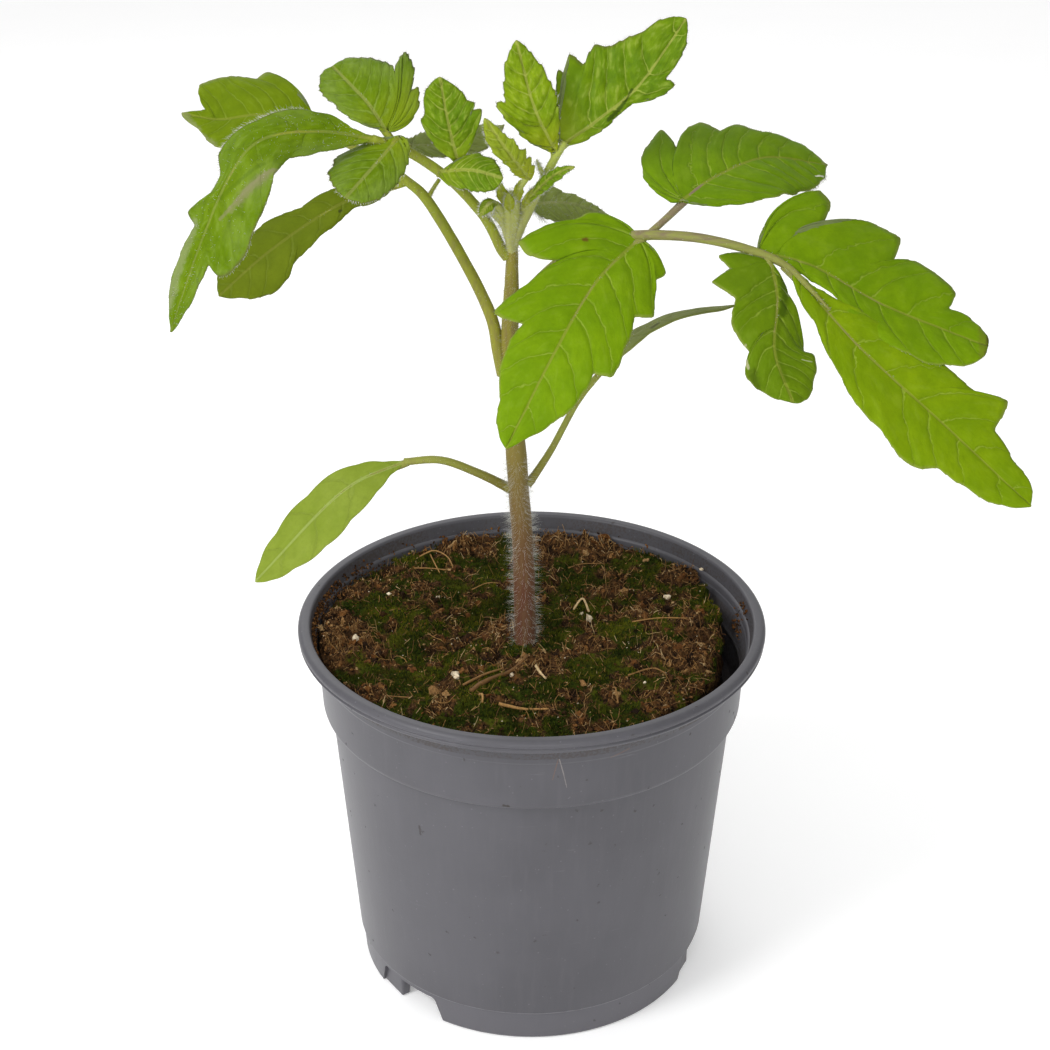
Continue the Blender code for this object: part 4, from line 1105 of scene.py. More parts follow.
def leaf_sheet(
    name, blade, finishes, seed, dome, sink, ruffle, roll,
    gap=0.15, columns=12, thick=0.32, teeth=0.2, pitch=4.0,
):
    """A blade as a fine veined sheet with an upper and a lower side.

    dome is the swelling between the side veins, sink the depth of the veins,
    ruffle the wave and roll the fall of the edge, all in millimetres. gap is
    the widest share of the midrib without a side vein.
    """
    length = blade.length
    stations = max(30, int(length / 0.6))
    spine_at = np.linspace(0.0, 1.0, stations)
    spine, looks = blade.place(spine_at, spine_at * 0)
    places = list(spine - looks * (sink * 0.9 * np.sin(math.pi * np.clip(spine_at, 0, 1)) ** 0.5)[:, None])
    faces, vein_map, flat_map, corners = [], [], [], []
    margins = {}
    for side in (-1, 1):
        line, tips = blade.edge(side)
        line = toothed(line, length, teeth, pitch, seed + side)
        along, out = line[:, 0], line[:, 1]
        roots = np.maximum.accumulate(np.clip(along - VEIN_SLANT * out, 0.0, 1.0))
        roots[0], roots[-1] = 0.0, 1.0
        veins = sorted({t for t in tips if 0.02 < roots[t] < 0.93 or out[t] > 0.12})
        wanted = 0.04
        for k in range(len(roots)):
            near = min([abs(roots[k] - roots[v]) for v in veins], default=1.0)
            if roots[k] > wanted and near > gap * 0.6 and roots[k] < 0.93:
                veins.append(k)
                wanted = roots[k] + gap * 0.8
        veins = sorted(veins)
        rows = np.arange(len(roots))
        phase = np.interp(rows, [0, *veins, len(roots) - 1], [-0.5, *range(len(veins)), len(veins) - 0.5])
        shares = (np.arange(1, columns + 1) / columns) ** 0.9
        grid_out = out[:, None] * shares[None, :]
        grid_along = roots[:, None] + (along - roots)[:, None] * shares[None, :]
        reach = np.hypot(out, along - roots)[:, None]
        grid_along = grid_along - 0.11 * reach * np.sin(math.pi * shares)[None, :]
        spots, up = blade.place(grid_along, side * grid_out)
        off = np.abs(phase - np.round(phase))[:, None] * 2
        window = np.sin(math.pi * np.clip(shares, 0, 1) ** 0.8)[None, :] ** 0.6
        relief = dome * (1 - (1 - off) ** 2) * window
        relief = relief - sink * np.clip(1 - off * 5, 0, 1) * (1 - shares[None, :]) ** 0.4
        arc = np.cumsum(np.r_[0.0, np.hypot(*np.diff(line, axis=0).T)])[:, None] * length
        wavy = np.sin(arc / 3.4 + seed * 2) + 0.6 * np.sin(arc / 1.9 + seed * 5 + side)
        relief = relief + ruffle * wavy * shares[None, :] ** 2.2 * 0.5
        relief = relief - roll * shares[None, :] ** 7
        small = [
            noise.noise(Vector((a * length / 2.2, b * side * length / 2.2, seed)))
            for a, b in zip(grid_along.flat, grid_out.flat)
        ]
        relief = relief + np.reshape(small, relief.shape) * dome * 0.8
        spots = spots + up * relief[..., None]
        base = len(places)
        places.extend(spots.reshape(-1, 3))
        gradient = np.maximum(np.gradient(phase), 1e-3)
        run_along, run_out = np.gradient(grid_along, axis=0), np.gradient(grid_out, axis=0)
        ray = unit(np.stack([along - roots, out], 1) + 1e-9)
        spread = np.abs(run_along * ray[:, 1:2] - run_out * ray[:, 0:1]) / gradient[:, None] * length
        kernel = np.ones(7) / 7
        spread = np.stack([np.convolve(np.pad(c, 3, mode="edge"), kernel, "valid") for c in spread.T], 1)
        spread = np.clip(spread, 0.4, 14.0)

        def number(row, column):
            return base + row * columns + column

        inner = list(range(stations))
        outer = [number(k, 0) for k in range(len(roots))]
        spine_phase = np.interp(spine_at, roots + rows * 1e-7, phase)
        spine_spread = np.interp(spine_at, roots + rows * 1e-7, spread[:, 0])
        lookup = {k: (spine_phase[k], 0.0, spine_at[k] * length, 0.0, spine_spread[k]) for k in inner}
        for row in rows:
            for column in range(columns):
                lookup[number(row, column)] = (
                    phase[row],
                    shares[column],
                    grid_along[row, column] * length,
                    side * grid_out[row, column] * length,
                    spread[row, column],
                )
        half = zipped(inner, outer, spine_at, roots)
        for k in range(len(roots) - 1):
            for c in range(columns - 1):
                half.append((number(k, c), number(k, c + 1), number(k + 1, c + 1), number(k + 1, c)))
        for face in half:
            face = tuple(dict.fromkeys(face))
            if side < 0:
                face = face[::-1]
            faces.append(face)
            for corner in face:
                p, v, x, y, s = lookup[corner]
                vein_map.extend((p, v))
                flat_map.extend((x, y))
                corners.append(s)
        margins[side] = (spots[:, -1], unit(spots[:, -1] - spots[:, -3]), up[:, -1])
    made = piece(name, places, faces, finishes)
    mesh = made.data
    mesh.uv_layers.new(name="vein").data.foreach_set("uv", vein_map)
    mesh.uv_layers.new(name="flat").data.foreach_set("uv", flat_map)
    mesh.attributes.new("spread", "FLOAT", "CORNER").data.foreach_set("value", corners)
    work = bmesh.new()
    work.from_mesh(mesh)
    bmesh.ops.remove_doubles(work, verts=work.verts, dist=1e-7)
    bmesh.ops.dissolve_degenerate(work, edges=work.edges, dist=1e-7)
    work.to_mesh(mesh)
    work.free()
    sheet = made.modifiers.new("thickness", "SOLIDIFY")
    sheet.thickness = thick * 0.001
    sheet.offset = 0.0
    sheet.material_offset = 1
    sheet.material_offset_rim = 0
    graph = bpy.context.evaluated_depsgraph_get()
    mesh = bpy.data.meshes.new_from_object(made.evaluated_get(graph))
    made.modifiers.clear()
    made.data = mesh
    return made, margins


def leaf_finish(
    name, deep, bright, vein, midrib_tone, rim_tone, underneath=False, vein_show=0.6, vein_width=0.27,
    net=0.1, puff=1.0, gloss=0.5, shine=0.05, blush=None, bloom_and_sheen=0.0, marks=(),
):
    """Leaf tissue: green mottling, pale veins, relief, and light through the blade.

    A mark is a line on the flat map: its two ends, width, tone and strength.
    """
    made = Finish(name, Specular_IOR_Level=shine, Sheen_Weight=0.2 if underneath else 0.02)
    vein_map = made.node("ShaderNodeUVMap", {"uv_map": "vein"})
    across, out = made.node("ShaderNodeSeparateXYZ", None, {0: vein_map}, ("X", "Y"))
    flat = made.node("ShaderNodeUVMap", {"uv_map": "flat"})
    along, aside = made.node("ShaderNodeSeparateXYZ", None, {0: flat}, ("X", "Y"))
    spread = made.tagged("spread")
    wander = made.grain(flat, 0.3, 3.0)
    off = ((across + 0.5 + (wander - 0.5) * 0.35).sum("FRACT") - 0.5).size() * spread
    side_vein = (off / (vein_width * (1.0 - out * 0.45))).step(1.35, 0.3)
    faded = made.grain(flat, 0.22, 2.0).step(0.3, 0.6) * 0.6 + 0.4
    vein_side_shade = (off / (0.8 - out * 0.3)).step(1.3, 0.4)
    midrib = (aside.size() / (0.52 - along * 0.004)).step(1.2, 0.5)
    crinkle = made.grain(made.vector("MULTIPLY", vein_map, (3.6, 5.0, 1.0)), 1.0, 2.0, 0.5)
    cloud = made.grain(flat, 0.09, 3.0)
    fine = made.grain(flat, 1.4, 3.0, 0.65)
    patch = made.grain(flat, 0.3, 2.0)
    tone = made.mix(cloud.step(0.3, 0.7) * 0.6 + fine * 0.4, deep, bright)
    tone = made.mix(patch.step(0.4, 0.7) * 0.3, tone, dimmed(deep, 0.8))
    tone = made.mix(fine.step(0.4, 0.75) * 0.35, tone, dimmed(deep, 0.75))
    # Raised crinkles are painted lighter in the vein colour as highlights, sunken ones darker as shade.
    tone = made.mix(crinkle.step(0.5, 0.72) * net, tone, vein)
    tone = made.mix(crinkle.step(0.5, 0.3) * net, tone, dimmed(deep, 0.6))
    if blush is not None:
        tone = made.mix(along.step(11.0, 0.0) * 0.7, tone, blush)
    # A grey-green bloom towards the margins: the fine hair's own colour, partly painted sheen.
    if bloom_and_sheen:
        hoary_sheen = (fine * 0.6 + cloud).step(0.6, 1.0) * out.step(0.1, 0.9)
        tone = made.mix(hoary_sheen * bloom_and_sheen, tone, (0.34, 0.42, 0.19))
    # A darker band beside each side vein: painted shade along the vein.
    tone = made.mix(vein_side_shade * 0.16, tone, dimmed(deep, 0.7))
    tone = made.mix(side_vein * faded * (1.0 - out * 0.5) * vein_show, tone, vein)
    tone = made.mix(midrib * (0.35 + vein_show * 0.5), tone, midrib_tone)
    tone = made.mix(out.step(0.955, 0.995) * 0.55, tone, rim_tone)
    for first, last, width, colour, strength in marks:
        near = made.distance_from(flat, first, last) + (fine - 0.5) * width * 1.4 + (patch - 0.5) * width
        tone = made.mix(near.step(width, width * 0.35) * strength, tone, colour)
    made.give("Base Color", tone)
    made.give("Roughness", gloss + 0.12 * (fine - 0.5))
    turn = -1.0 if underneath else 1.0
    relief = crinkle * 1.4 * puff - side_vein * 0.55 - midrib * 0.5 + fine * 0.2
    made.bump(relief * turn, 0.6, 0.35)
    through = (bright[0] * 1.35, bright[1] * 1.2, bright[2])
    glow = made.node("ShaderNodeBsdfTranslucent", None, {"Color": through})
    tissue = Value(made, made.shader.outputs[0])
    blend = made.node("ShaderNodeMixShader", None, {0: 0.22, 1: tissue, 2: glow})
    made.feed(made.tree.nodes["Material Output"].inputs["Surface"], blend)
    return made


def margin_hairs(margins, count, length, low=0.0, high=1.0, sides=(-1, 1), rise=0.35):
    """Hairs along a blade's edge: roots, ways and lengths."""
    lots = []
    for side in sides:
        rim, out, up = margins[side]
        k = (rng.uniform(low, high, count) * (len(rim) - 1)).astype(int)
        ways = out[k] + up[k] * rng.normal(rise, 0.35, (count, 1)) + rng.normal(0, 0.25, (count, 3))
        lots.append((rim[k] - out[k] * 0.05, ways, length * rng.uniform(0.4, 1.2, count)))
    return joined_hairs(*lots)


def face_hairs(blade, count, length):
    """Short hairs over a blade's face: roots, ways and lengths."""
    along, side = rng.uniform(0.05, 0.97, count), rng.choice([-1, 1], count)
    edges = {s: np.array(sorted(blade.edges[s])).T for s in (-1, 1)}
    reach = np.array([np.interp(a, *edges[s]) for a, s in zip(along, side)])
    spots, up = blade.place(along, side * reach * rng.random(count) * 0.9)
    return spots + up * 0.1, up + rng.normal(0, 0.45, (count, 3)), length * rng.uniform(0.4, 1.2, count)


def rib(blade, lead, radius, sink):
    """The stalk of a leaflet and the midrib that stands proud under its blade."""
    shares = np.linspace(0.04, RIB_REACH, RIB_POINTS)
    spots, looks = blade.place(shares, shares * 0)
    fade = radius * (1 - np.linspace(0, 1, RIB_POINTS)) ** 0.8 + 0.14
    spots = spots - looks * (fade * 0.75 + sink * 0.8)[:, None]
    line = curve_through([*lead, *spots[::2]], 6)
    radii = [radius * 1.05] * max(1, len(lead)) + list(fade[::2])
    return tube(line, radii, RIB_SIDES, 0.03)[:2] + (line, radii)


def leaf(name, slot, stalk_skin, stalks, leaflets, stalk_hair=(220, 0.7), knobbly=0.04):
    """One leaf: its stalks in one piece, each blade in its own, and its hairs.

    A leaflet is its label, blade, way from the stalk, stalk radius, two
    finishes and looks.
    """
    shapes, lots = [], []
    for stalk in stalks:
        line, radii = stalk_line(stalk, 10)
        shapes.append((*tube(line, radii, STALK_SIDES, knobbly)[:2], []))
        lots.append(tube_hairs(line, radii, *stalk_hair))
    for label, blade, lead, radius, finishes, looks in leaflets:
        looks = dict(looks)
        fringe, fuzz = looks.pop("fringe", ()), looks.pop("fuzz", ())
        places, faces, line, radii = rib(blade, lead, radius, looks["sink"])
        shapes.append((places, faces, []))
        lots.append(tube_hairs(line, radii, int(blade.length * 3), stalk_hair[1] * 0.8, 0.0, 0.6))
        made, margins = leaf_sheet(name + "_" + label, blade, finishes, seed=len(shapes) * 1.7, **looks)
        stands_for(made, slot, slot)
        for strip in fringe:
            lots.append(margin_hairs(margins, **strip))
        for strip in fuzz:
            lots.append(face_hairs(blade, **strip))
    places, faces, _ = gathered(*shapes)
    stalk = piece(name + "_stalks", places, faces, [stalk_skin])
    stands_for(stalk, slot, slot)
    places, faces, _ = hairs(*joined_hairs(*lots), thick=LEAF_HAIR)
    fuzz = piece(name + "_hairs", places, faces, [hair_white])
    stands_for(fuzz, slot, slot)


GROWN_TONES = dict(
    deep=(0.142, 0.268, 0.002),
    bright=(0.205, 0.34, 0.003),
    vein=(0.36, 0.47, 0.06),
    midrib_tone=(0.27, 0.30, 0.04),
    rim_tone=(0.30, 0.34, 0.07),
    vein_show=0.55,
    vein_width=0.21,
    net=0.10,
    puff=0.4,
)
UNDER_TONES = dict(
    deep=(0.15, 0.20, 0.06),
    bright=(0.20, 0.25, 0.08),
    vein=(0.30, 0.36, 0.14),
    midrib_tone=(0.30, 0.34, 0.12),
    rim_tone=(0.30, 0.32, 0.12),
    underneath=True,
)
YOUNG_TONES = dict(
    deep=(0.095, 0.20, 0.002),
    bright=(0.18, 0.29, 0.003),
    vein=(0.42, 0.50, 0.08),
    midrib_tone=(0.38, 0.42, 0.08),
    rim_tone=(0.16, 0.14, 0.05),
    vein_show=0.75,
    vein_width=0.19,
    net=0.36,
    puff=1.2,
    gloss=0.42,
    shine=0.09,
    blush=(0.27, 0.36, 0.01),
)
CALM_TONES = dict(
    YOUNG_TONES,
    deep=(0.11, 0.20, 0.002),
    bright=(0.17, 0.268, 0.004),
    vein=(0.24, 0.34, 0.05),
    midrib_tone=(0.27, 0.31, 0.07),
    bloom_and_sheen=0.14,
    shine=0.05,
    puff=0.9,
)
leaf_under = leaf_finish("leaf_underside", **UNDER_TONES)


def topped(name, tones, **changes):
    """A blade's two finishes: its own upper side and the shared underside."""
    return [leaf_finish(name, **dict(tones, **changes)), leaf_under]


young = topped("young_leaf_upper_side", YOUNG_TONES)
lively = topped(
    "lively_leaf_upper_side",
    YOUNG_TONES,
    deep=(0.14, 0.25, 0.003),
    bright=(0.26, 0.37, 0.004),
    blush=(0.34, 0.38, 0.01),
)
bloomy_sheened = topped("young_leaf_with_bloom_and_sheen", CALM_TONES)
CALM = dict(dome=0.13, sink=0.1, ruffle=0.35, roll=0.3, gap=0.2, columns=12, teeth=0.12, pitch=3.2)
GROWN = dict(dome=0.22, sink=0.17, ruffle=0.5, roll=0.5)
YOUNG = dict(dome=0.5, sink=0.26, ruffle=0.35, roll=0.3, gap=0.19, columns=12, teeth=0.3, pitch=4.4)
TINY = dict(dome=0.25, sink=0.2, ruffle=0.25, roll=0.15, columns=8, thick=0.25, teeth=0.4, pitch=2.6)
FINE_FRINGE = [dict(count=90, length=0.55)]

# ============================================================== seed leaves
# The two smooth oval seed leaves on thin stalks low on the stem. The left one
# hangs with its face to the front, the right one is seen on its edge.
seed_skin = skin("seed_leaf_stalk_skin", (0.17, 0.15, 0.025), (0.25, 0.28, 0.05), 138, 156)
smooth_top = leaf_finish(
    "seed_leaf_upper_side",
    deep=(0.21, 0.29, 0.025),
    bright=(0.27, 0.345, 0.045),
    vein=(0.36, 0.42, 0.12),
    midrib_tone=(0.42, 0.50, 0.16),
    rim_tone=(0.30, 0.36, 0.08),
    vein_show=0.12,
    net=0.06,
    puff=0.2,
)
shaded_top = leaf_finish(
    "shaded_seed_leaf_side",
    deep=(0.18, 0.22, 0.05),
    bright=(0.25, 0.29, 0.075),
    vein=(0.24, 0.28, 0.10),
    midrib_tone=(0.22, 0.25, 0.08),
    rim_tone=(0.26, 0.28, 0.09),
    vein_show=0.0,
    net=0.04,
    puff=0.2,
    marks=[((13.0, 2.0), (15.0, 1.2), 0.8, (0.03, 0.03, 0.01), 0.7)],
)
SMOOTH = dict(dome=0.04, sink=0.05, ruffle=0.12, roll=0.2, gap=0.3, teeth=0.0)
seed_leaf_left = Blade(
    path=[(-31, -13, 150), (-46, -18, 144), (-67, -24, 123)],
    facing=(-0.3, -0.75, 0.6),
    left=[(0.1, 0.04), (0.2, 0.1), (0.4, 0.15), (0.6, 0.155), (0.8, 0.11), (0.93, 0.06)],
    right=[(0.1, 0.04), (0.22, 0.08), (0.5, 0.11), (0.75, 0.095), (0.92, 0.05)],
    fold=0.12,
    droop=0.4,
)
leaf(
    "left_seed_leaf",
    "cotyledon_left",
    seed_skin,
    [
        [
            (-5.4, -6, 139.6, 1.5), (-7.4, -6.1, 140.6, 1.2), (-13, -9, 145, 1.05),
            (-22, -12, 150, 0.95), (-31, -13, 150, 0.9),
        ],
    ],
    [("blade", seed_leaf_left, [(-30, -12.9, 149.8)], 0.85, [smooth_top, leaf_under], SMOOTH)],
)
seed_leaf_right = Blade(
    path=[(19.2, 11.5, 166.4), (24, 13.5, 171.5), (36, 18.5, 175.6), (51, 24, 176.2)],
    facing=(0.0, 0.2, 0.98),
    left=[(0.05, 0.07), (0.2, 0.12), (0.4, 0.11), (0.7, 0.09), (0.93, 0.05)],
    right=[
        (0.0, 0.06), (0.03, 0.13), (0.1, 0.16), (0.2, 0.14), (0.3, 0.10), (0.5, 0.08), (0.75, 0.07),
        (0.93, 0.04),
    ],
    fold=0.0,
    droop=0.3,
)
leaf(
    "right_seed_leaf",
    "cotyledon_right",
    seed_skin,
    [
        [
            (-1.4, -6, 140.8, 1.4), (0.3, -5.2, 142.4, 1.05), (4.9, -1, 148.3, 0.85),
            (11.1, 4.7, 158.2, 0.8), (17, 10, 164, 0.8), (19.2, 11.5, 166.4, 0.8),
        ],
    ],
    [("blade", seed_leaf_right, [(18.4, 11, 165.4)], 0.75, [shaded_top, shaded_top], SMOOTH)],
)

# ============================================================== right leaf
# The largest leaf: a long arched stalk with a broad leaflet near the stem,
# one above it, and three cut leaflets at its end, one of them hanging.
upper_right = Blade(
    path=[(34, -8, 214), (42, 0, 217), (55, 12, 218), (71, 22, 213)],
    facing=(0.05, -0.5, 0.86),
    left=[
        (-0.05, 0.03), (-0.04, 0.18), (0.03, 0.27), (0.18, 0.36), (0.29, 0.4), (0.23, 0.24),
        (0.37, 0.32), (0.48, 0.34), (0.5, 0.23), (0.6, 0.26), (0.66, 0.18), (0.83, 0.15), (0.96, 0.08),
    ],
    right=[(0.04, 0.08), (0.17, 0.17), (0.34, 0.23), (0.5, 0.25), (0.68, 0.23), (0.9, 0.12)],
    droop=0.35,
)
front_right = Blade(
    path=[(24, -12, 206), (14, -24, 200), (5, -37, 189), (-6, -48, 170)],
    facing=(-0.05, -0.85, 0.5),
    left=[
        (0.0, 0.07), (0.04, 0.17), (0.09, 0.155), (0.17, 0.21), (0.25, 0.25), (0.32, 0.19),
        (0.48, 0.22), (0.59, 0.23), (0.61, 0.16), (0.7, 0.16), (0.84, 0.11), (0.93, 0.05),
    ],
    right=[
        (0.0, 0.1), (0.04, 0.18), (0.13, 0.22), (0.3, 0.33), (0.32, 0.25), (0.28, 0.16), (0.42, 0.21),
        (0.58, 0.27), (0.56, 0.15), (0.68, 0.16), (0.85, 0.1), (0.96, 0.05),
    ],
    droop=0.35,
)
side_right = Blade(
    path=[(51, -15, 204), (64, -13, 200), (81, -11, 190), (97, -10, 183), (107, -10, 179)],
    facing=(0.15, -0.62, 0.77),
    left=[
        (0.03, 0.09), (0.11, 0.23), (0.22, 0.35), (0.26, 0.31), (0.23, 0.19), (0.28, 0.2), (0.37, 0.3),
        (0.58, 0.33), (0.56, 0.21), (0.67, 0.26), (0.84, 0.18), (0.82, 0.1), (0.93, 0.09), (1.0, 0.04),
    ],
    right=[(0.07, 0.03), (0.18, 0.04), (0.33, 0.07), (0.51, 0.12), (0.68, 0.16), (0.85, 0.14), (0.99, 0.05)],
    fold=0.08,
)
hanging_right = Blade(
    path=[(54, -16, 202), (55, -24, 196), (54, -33, 187), (58, -38, 177)],
    facing=(0.35, -0.9, 0.25),
    left=[(0.17, 0.09), (0.28, 0.1), (0.4, 0.23), (0.6, 0.27), (0.82, 0.28), (0.94, 0.21), (1.02, 0.1)],
    right=[
        (-0.04, 0.18), (-0.06, 0.34), (0.1, 0.23), (0.12, 0.41), (0.33, 0.28), (0.52, 0.29),
        (0.65, 0.15), (0.74, 0.22), (0.88, 0.14),
    ],
    fold=-0.15,
    droop=0.2,
)
end_right = Blade(
    path=[(59, -16, 200), (75, -20, 183), (96, -25, 165), (116, -32, 148)],
    facing=(0.15, -0.72, 0.66),
    left=[
        (0.08, 0.02), (0.16, 0.05), (0.3, 0.1), (0.45, 0.13), (0.66, 0.15), (0.75, 0.2), (0.77, 0.1),
        (0.87, 0.07), (0.97, 0.04),
    ],
    right=[
        (0.06, 0.03), (0.16, 0.05), (0.32, 0.11), (0.5, 0.15), (0.66, 0.16), (0.71, 0.12), (0.81, 0.1),
        (0.93, 0.06),
    ],
    droop=0.35,
)
STALK_BROWN, LENGTHWISE = (0.15, 0.10, 0.07), (0.15, 1.0, 1.0)
right_skin = skin(
    "right_leaf_stalk_skin", (0.22, 0.235, 0.05), (0.20, 0.165, 0.09), 204, 213, STALK_BROWN, LENGTHWISE
)
spotted = topped(
    "leaf_with_a_red_spot",
    GROWN_TONES,
    marks=[((10.1, 8.0), (10.5, 8.4), 0.8, (0.13, 0.04, 0.012), 0.8)],
)
browned = topped(
    "leaf_with_a_brown_tip",
    GROWN_TONES,
    marks=[
        ((61.6, -4.5), (62.6, 3.0), 1.5, (0.05, 0.03, 0.012), 0.9),
        ((60.0, -4.0), (61.0, 3.0), 1.6, (0.16, 0.17, 0.02), 0.5),
    ],
)
crease_shaded = topped(
    "leaf_with_a_shaded_crease",
    GROWN_TONES,
    deep=(0.11, 0.20, 0.003),
    bright=(0.155, 0.255, 0.004),
    marks=[
        # The dark green lines along the midrib and beside it are painted shade in the crease.
        ((1.0, -3.0), (13.0, -1.4), 1.6, (0.045, 0.085, 0.002), 0.75),
        ((14.0, -1.0), (30.0, -0.5), 0.8, (0.07, 0.12, 0.002), 0.5),
        ((21.5, 6.4), (25.0, 6.6), 0.35, (0.50, 0.48, 0.28), 0.7),
        ((26.5, 6.0), (31.0, 6.4), 1.6, (0.05, 0.08, 0.003), 0.6),
        ((26.4, -6.4), (28.2, -8.6), 0.2, (0.6, 0.6, 0.4), 0.5),
    ],
)
frayed = topped(
    "leaf_with_a_frayed_end",
    GROWN_TONES,
    deep=(0.13, 0.25, 0.003),
    bright=(0.18, 0.305, 0.004),
    marks=[
        ((42.5, 5.0), (45.5, 4.4), 0.35, (0.75, 0.75, 0.62), 0.9),
        ((47.5, -2.5), (49.0, 2.0), 0.9, (0.24, 0.24, 0.12), 0.6),
    ],
)
sunny = topped(
    "sunny_leaf_upper_side", GROWN_TONES, deep=(0.165, 0.28, 0.002), bright=(0.235, 0.35, 0.003)
)
FRINGED = dict(GROWN, fringe=FINE_FRINGE)
FRAYED = dict(GROWN, fringe=[*FINE_FRINGE, dict(count=160, length=1.2, low=0.7, high=1.0, rise=0.1)])
leaf(
    "right_leaf",
    "leaf_right",
    right_skin,
    [
        [
            (-4.5, -6, 187, 1.7), (-2, -6, 190, 1.5), (3, -4.8, 195, 1.35), (7, -4, 198, 1.3),
            (16, -8, 204, 1.25), (25, -12, 207, 1.2), (38, -14, 207, 1.1), (51, -15, 204, 1.0),
            (58, -16, 200.8, 0.85), (63, -17.3, 196.3, 0.6), (68, -18.8, 191.4, 0.25),
        ],
    ],
    [
        ("upper", upper_right, [(26, -12, 207), (30, -10, 210)], 0.8, frayed, FRAYED),
        ("front", front_right, [(26, -11.5, 206.8)], 0.9, spotted, FRINGED),
        ("side", side_right, [(49, -15, 204.4)], 0.9, browned, FRINGED),
        ("hanging", hanging_right, [(53, -15, 203.4)], 0.9, crease_shaded, FRINGED),
        ("end", end_right, [(57, -15.8, 201)], 0.9, sunny, FRINGED),
    ],
)

# ============================================================== lower left leaf
# An older leaf on a long curved stalk, with a broad end leaflet and a smooth
# dark one hanging below it. A stub shows where a leaflet was lost.
far_left = Blade(
    path=[(-50, 18, 222), (-64, 22, 225), (-76, 25, 223), (-85, 27, 224)],
    facing=(-0.05, -0.6, 0.8),
    left=[(0.09, 0.14), (0.33, 0.28), (0.68, 0.23), (0.84, 0.1)],
    right=[
        (0.11, 0.08), (0.3, 0.22), (0.48, 0.38), (0.52, 0.31), (0.79, 0.36), (0.97, 0.27),
        (0.94, 0.17), (0.85, 0.07),
    ],
    droop=0.35,
)
low_left = Blade(
    path=[(-33, 9, 212), (-46, 6, 208), (-62, 3, 198), (-75, 1, 187)],
    facing=(0.15, -0.8, 0.58),
    left=[(0.08, 0.04), (0.22, 0.04), (0.43, 0.08), (0.61, 0.11), (0.71, 0.16), (0.84, 0.14), (0.93, 0.07)],
    right=[(0.07, 0.04), (0.26, 0.08), (0.43, 0.08), (0.68, 0.12), (0.84, 0.11), (0.97, 0.05)],
    fold=0.05,
)
left_skin = skin("left_leaf_stalk_skin", (0.25, 0.25, 0.03), (0.22, 0.26, 0.02), 178, 216)
dull = topped(
    "dull_leaf_upper_side",
    GROWN_TONES,
    deep=(0.11, 0.155, 0.005),
    bright=(0.15, 0.20, 0.008),
    vein=(0.22, 0.28, 0.04),
    midrib_tone=(0.20, 0.22, 0.03),
    rim_tone=(0.20, 0.22, 0.05),
    vein_show=0.3,
    vein_width=0.27,
    net=0.0,
    puff=0.25,
    marks=[((14.0, -1.5), (14.4, -1.5), 0.5, (0.03, 0.03, 0.01), 0.8)],
)
olive = topped(
    "olive_leaf_upper_side",
    GROWN_TONES,
    deep=(0.13, 0.205, 0.002),
    bright=(0.185, 0.27, 0.003),
    vein_show=0.3,
    puff=0.2,
    marks=[((27.0, -7.6), (37.0, 0.4), 1.3, (0.24, 0.27, 0.10), 0.7)],
)
leaf(
    "lower_left_leaf",
    "leaf_left_lower",
    left_skin,
    [
        [
            (-7, -6, 170, 1.7), (-8.3, -6, 176, 1.55), (-10, -4, 184, 1.45), (-15.6, 2, 194, 1.35),
            (-24.5, 7, 208, 1.3), (-30, 9, 213, 1.15), (-39, 13, 218, 1.0), (-50, 18, 222, 0.85),
        ],
        [(-25.4, 7, 208, 0.7), (-24.1, 7.8, 210.8, 0.5), (-22.2, 8.6, 213.6, 0.45)],
    ],
    [
        ("far", far_left, [(-47, 16.6, 221)], 0.8, olive, dict(FRINGED, dome=0.1, sink=0.08)),
        ("low", low_left, [(-30, 9, 212.6)], 0.8, dull, dict(GROWN, dome=0.03, sink=0.03)),
    ],
)

# ============================================================== upper left leaf
# A young leaf, strongly puckered and hairy: an arched leaflet that hangs over
# at its end, a rounded one above it, and four smaller ones nearer the stem.
arched_left = Blade(
    path=[
        (-36, -14, 230), (-47, -19, 233), (-59, -25, 233), (-66, -29, 226), (-74, -31, 209),
        (-81, -32, 191),
    ],
    facing=(-0.35, -0.8, 0.5),
    left=[
        (0.07, 0.03), (0.18, 0.06), (0.29, 0.08), (0.41, 0.12), (0.6, 0.15), (0.71, 0.14), (0.77, 0.1),
        (0.75, 0.05), (0.83, 0.04), (0.93, 0.02),
    ],
    right=[
        (0.07, 0.02), (0.17, 0.06), (0.34, 0.06), (0.46, 0.07), (0.5, 0.03), (0.56, 0.03),
        (0.65, 0.08), (0.67, 0.04), (0.79, 0.05), (0.94, 0.03),
    ],
    fold=0.08,
)
round_left = Blade(
    path=[(-33, -12, 231), (-36.6, -12, 237), (-41.2, -7, 240.4), (-45.4, -1, 242.7)],
    facing=(0.05, -0.75, 0.65),
    left=[(0.14, 0.09), (0.27, 0.2), (0.35, 0.24), (0.56, 0.26), (0.77, 0.27), (0.94, 0.19), (1.03, 0.09)],
    right=[
        (-0.05, 0.2), (0.0, 0.43), (0.06, 0.46), (0.16, 0.55), (0.19, 0.42), (0.23, 0.49), (0.71, 0.7),
        (0.47, 0.43), (0.61, 0.46), (0.75, 0.4), (0.9, 0.28), (1.01, 0.13),
    ],
)
front_left = Blade(
    path=[(-30, -12, 230), (-35, -20, 226), (-41, -28, 221)],
    facing=(-0.15, -0.8, 0.58),
    left=[(0.0, 0.11), (0.18, 0.21), (0.46, 0.28), (0.7, 0.27), (0.9, 0.2)],
    right=[(0.12, 0.1), (0.34, 0.33), (0.6, 0.46), (0.66, 0.38), (0.8, 0.38), (0.95, 0.17)],
    fold=-0.1,
    droop=0.35,
)
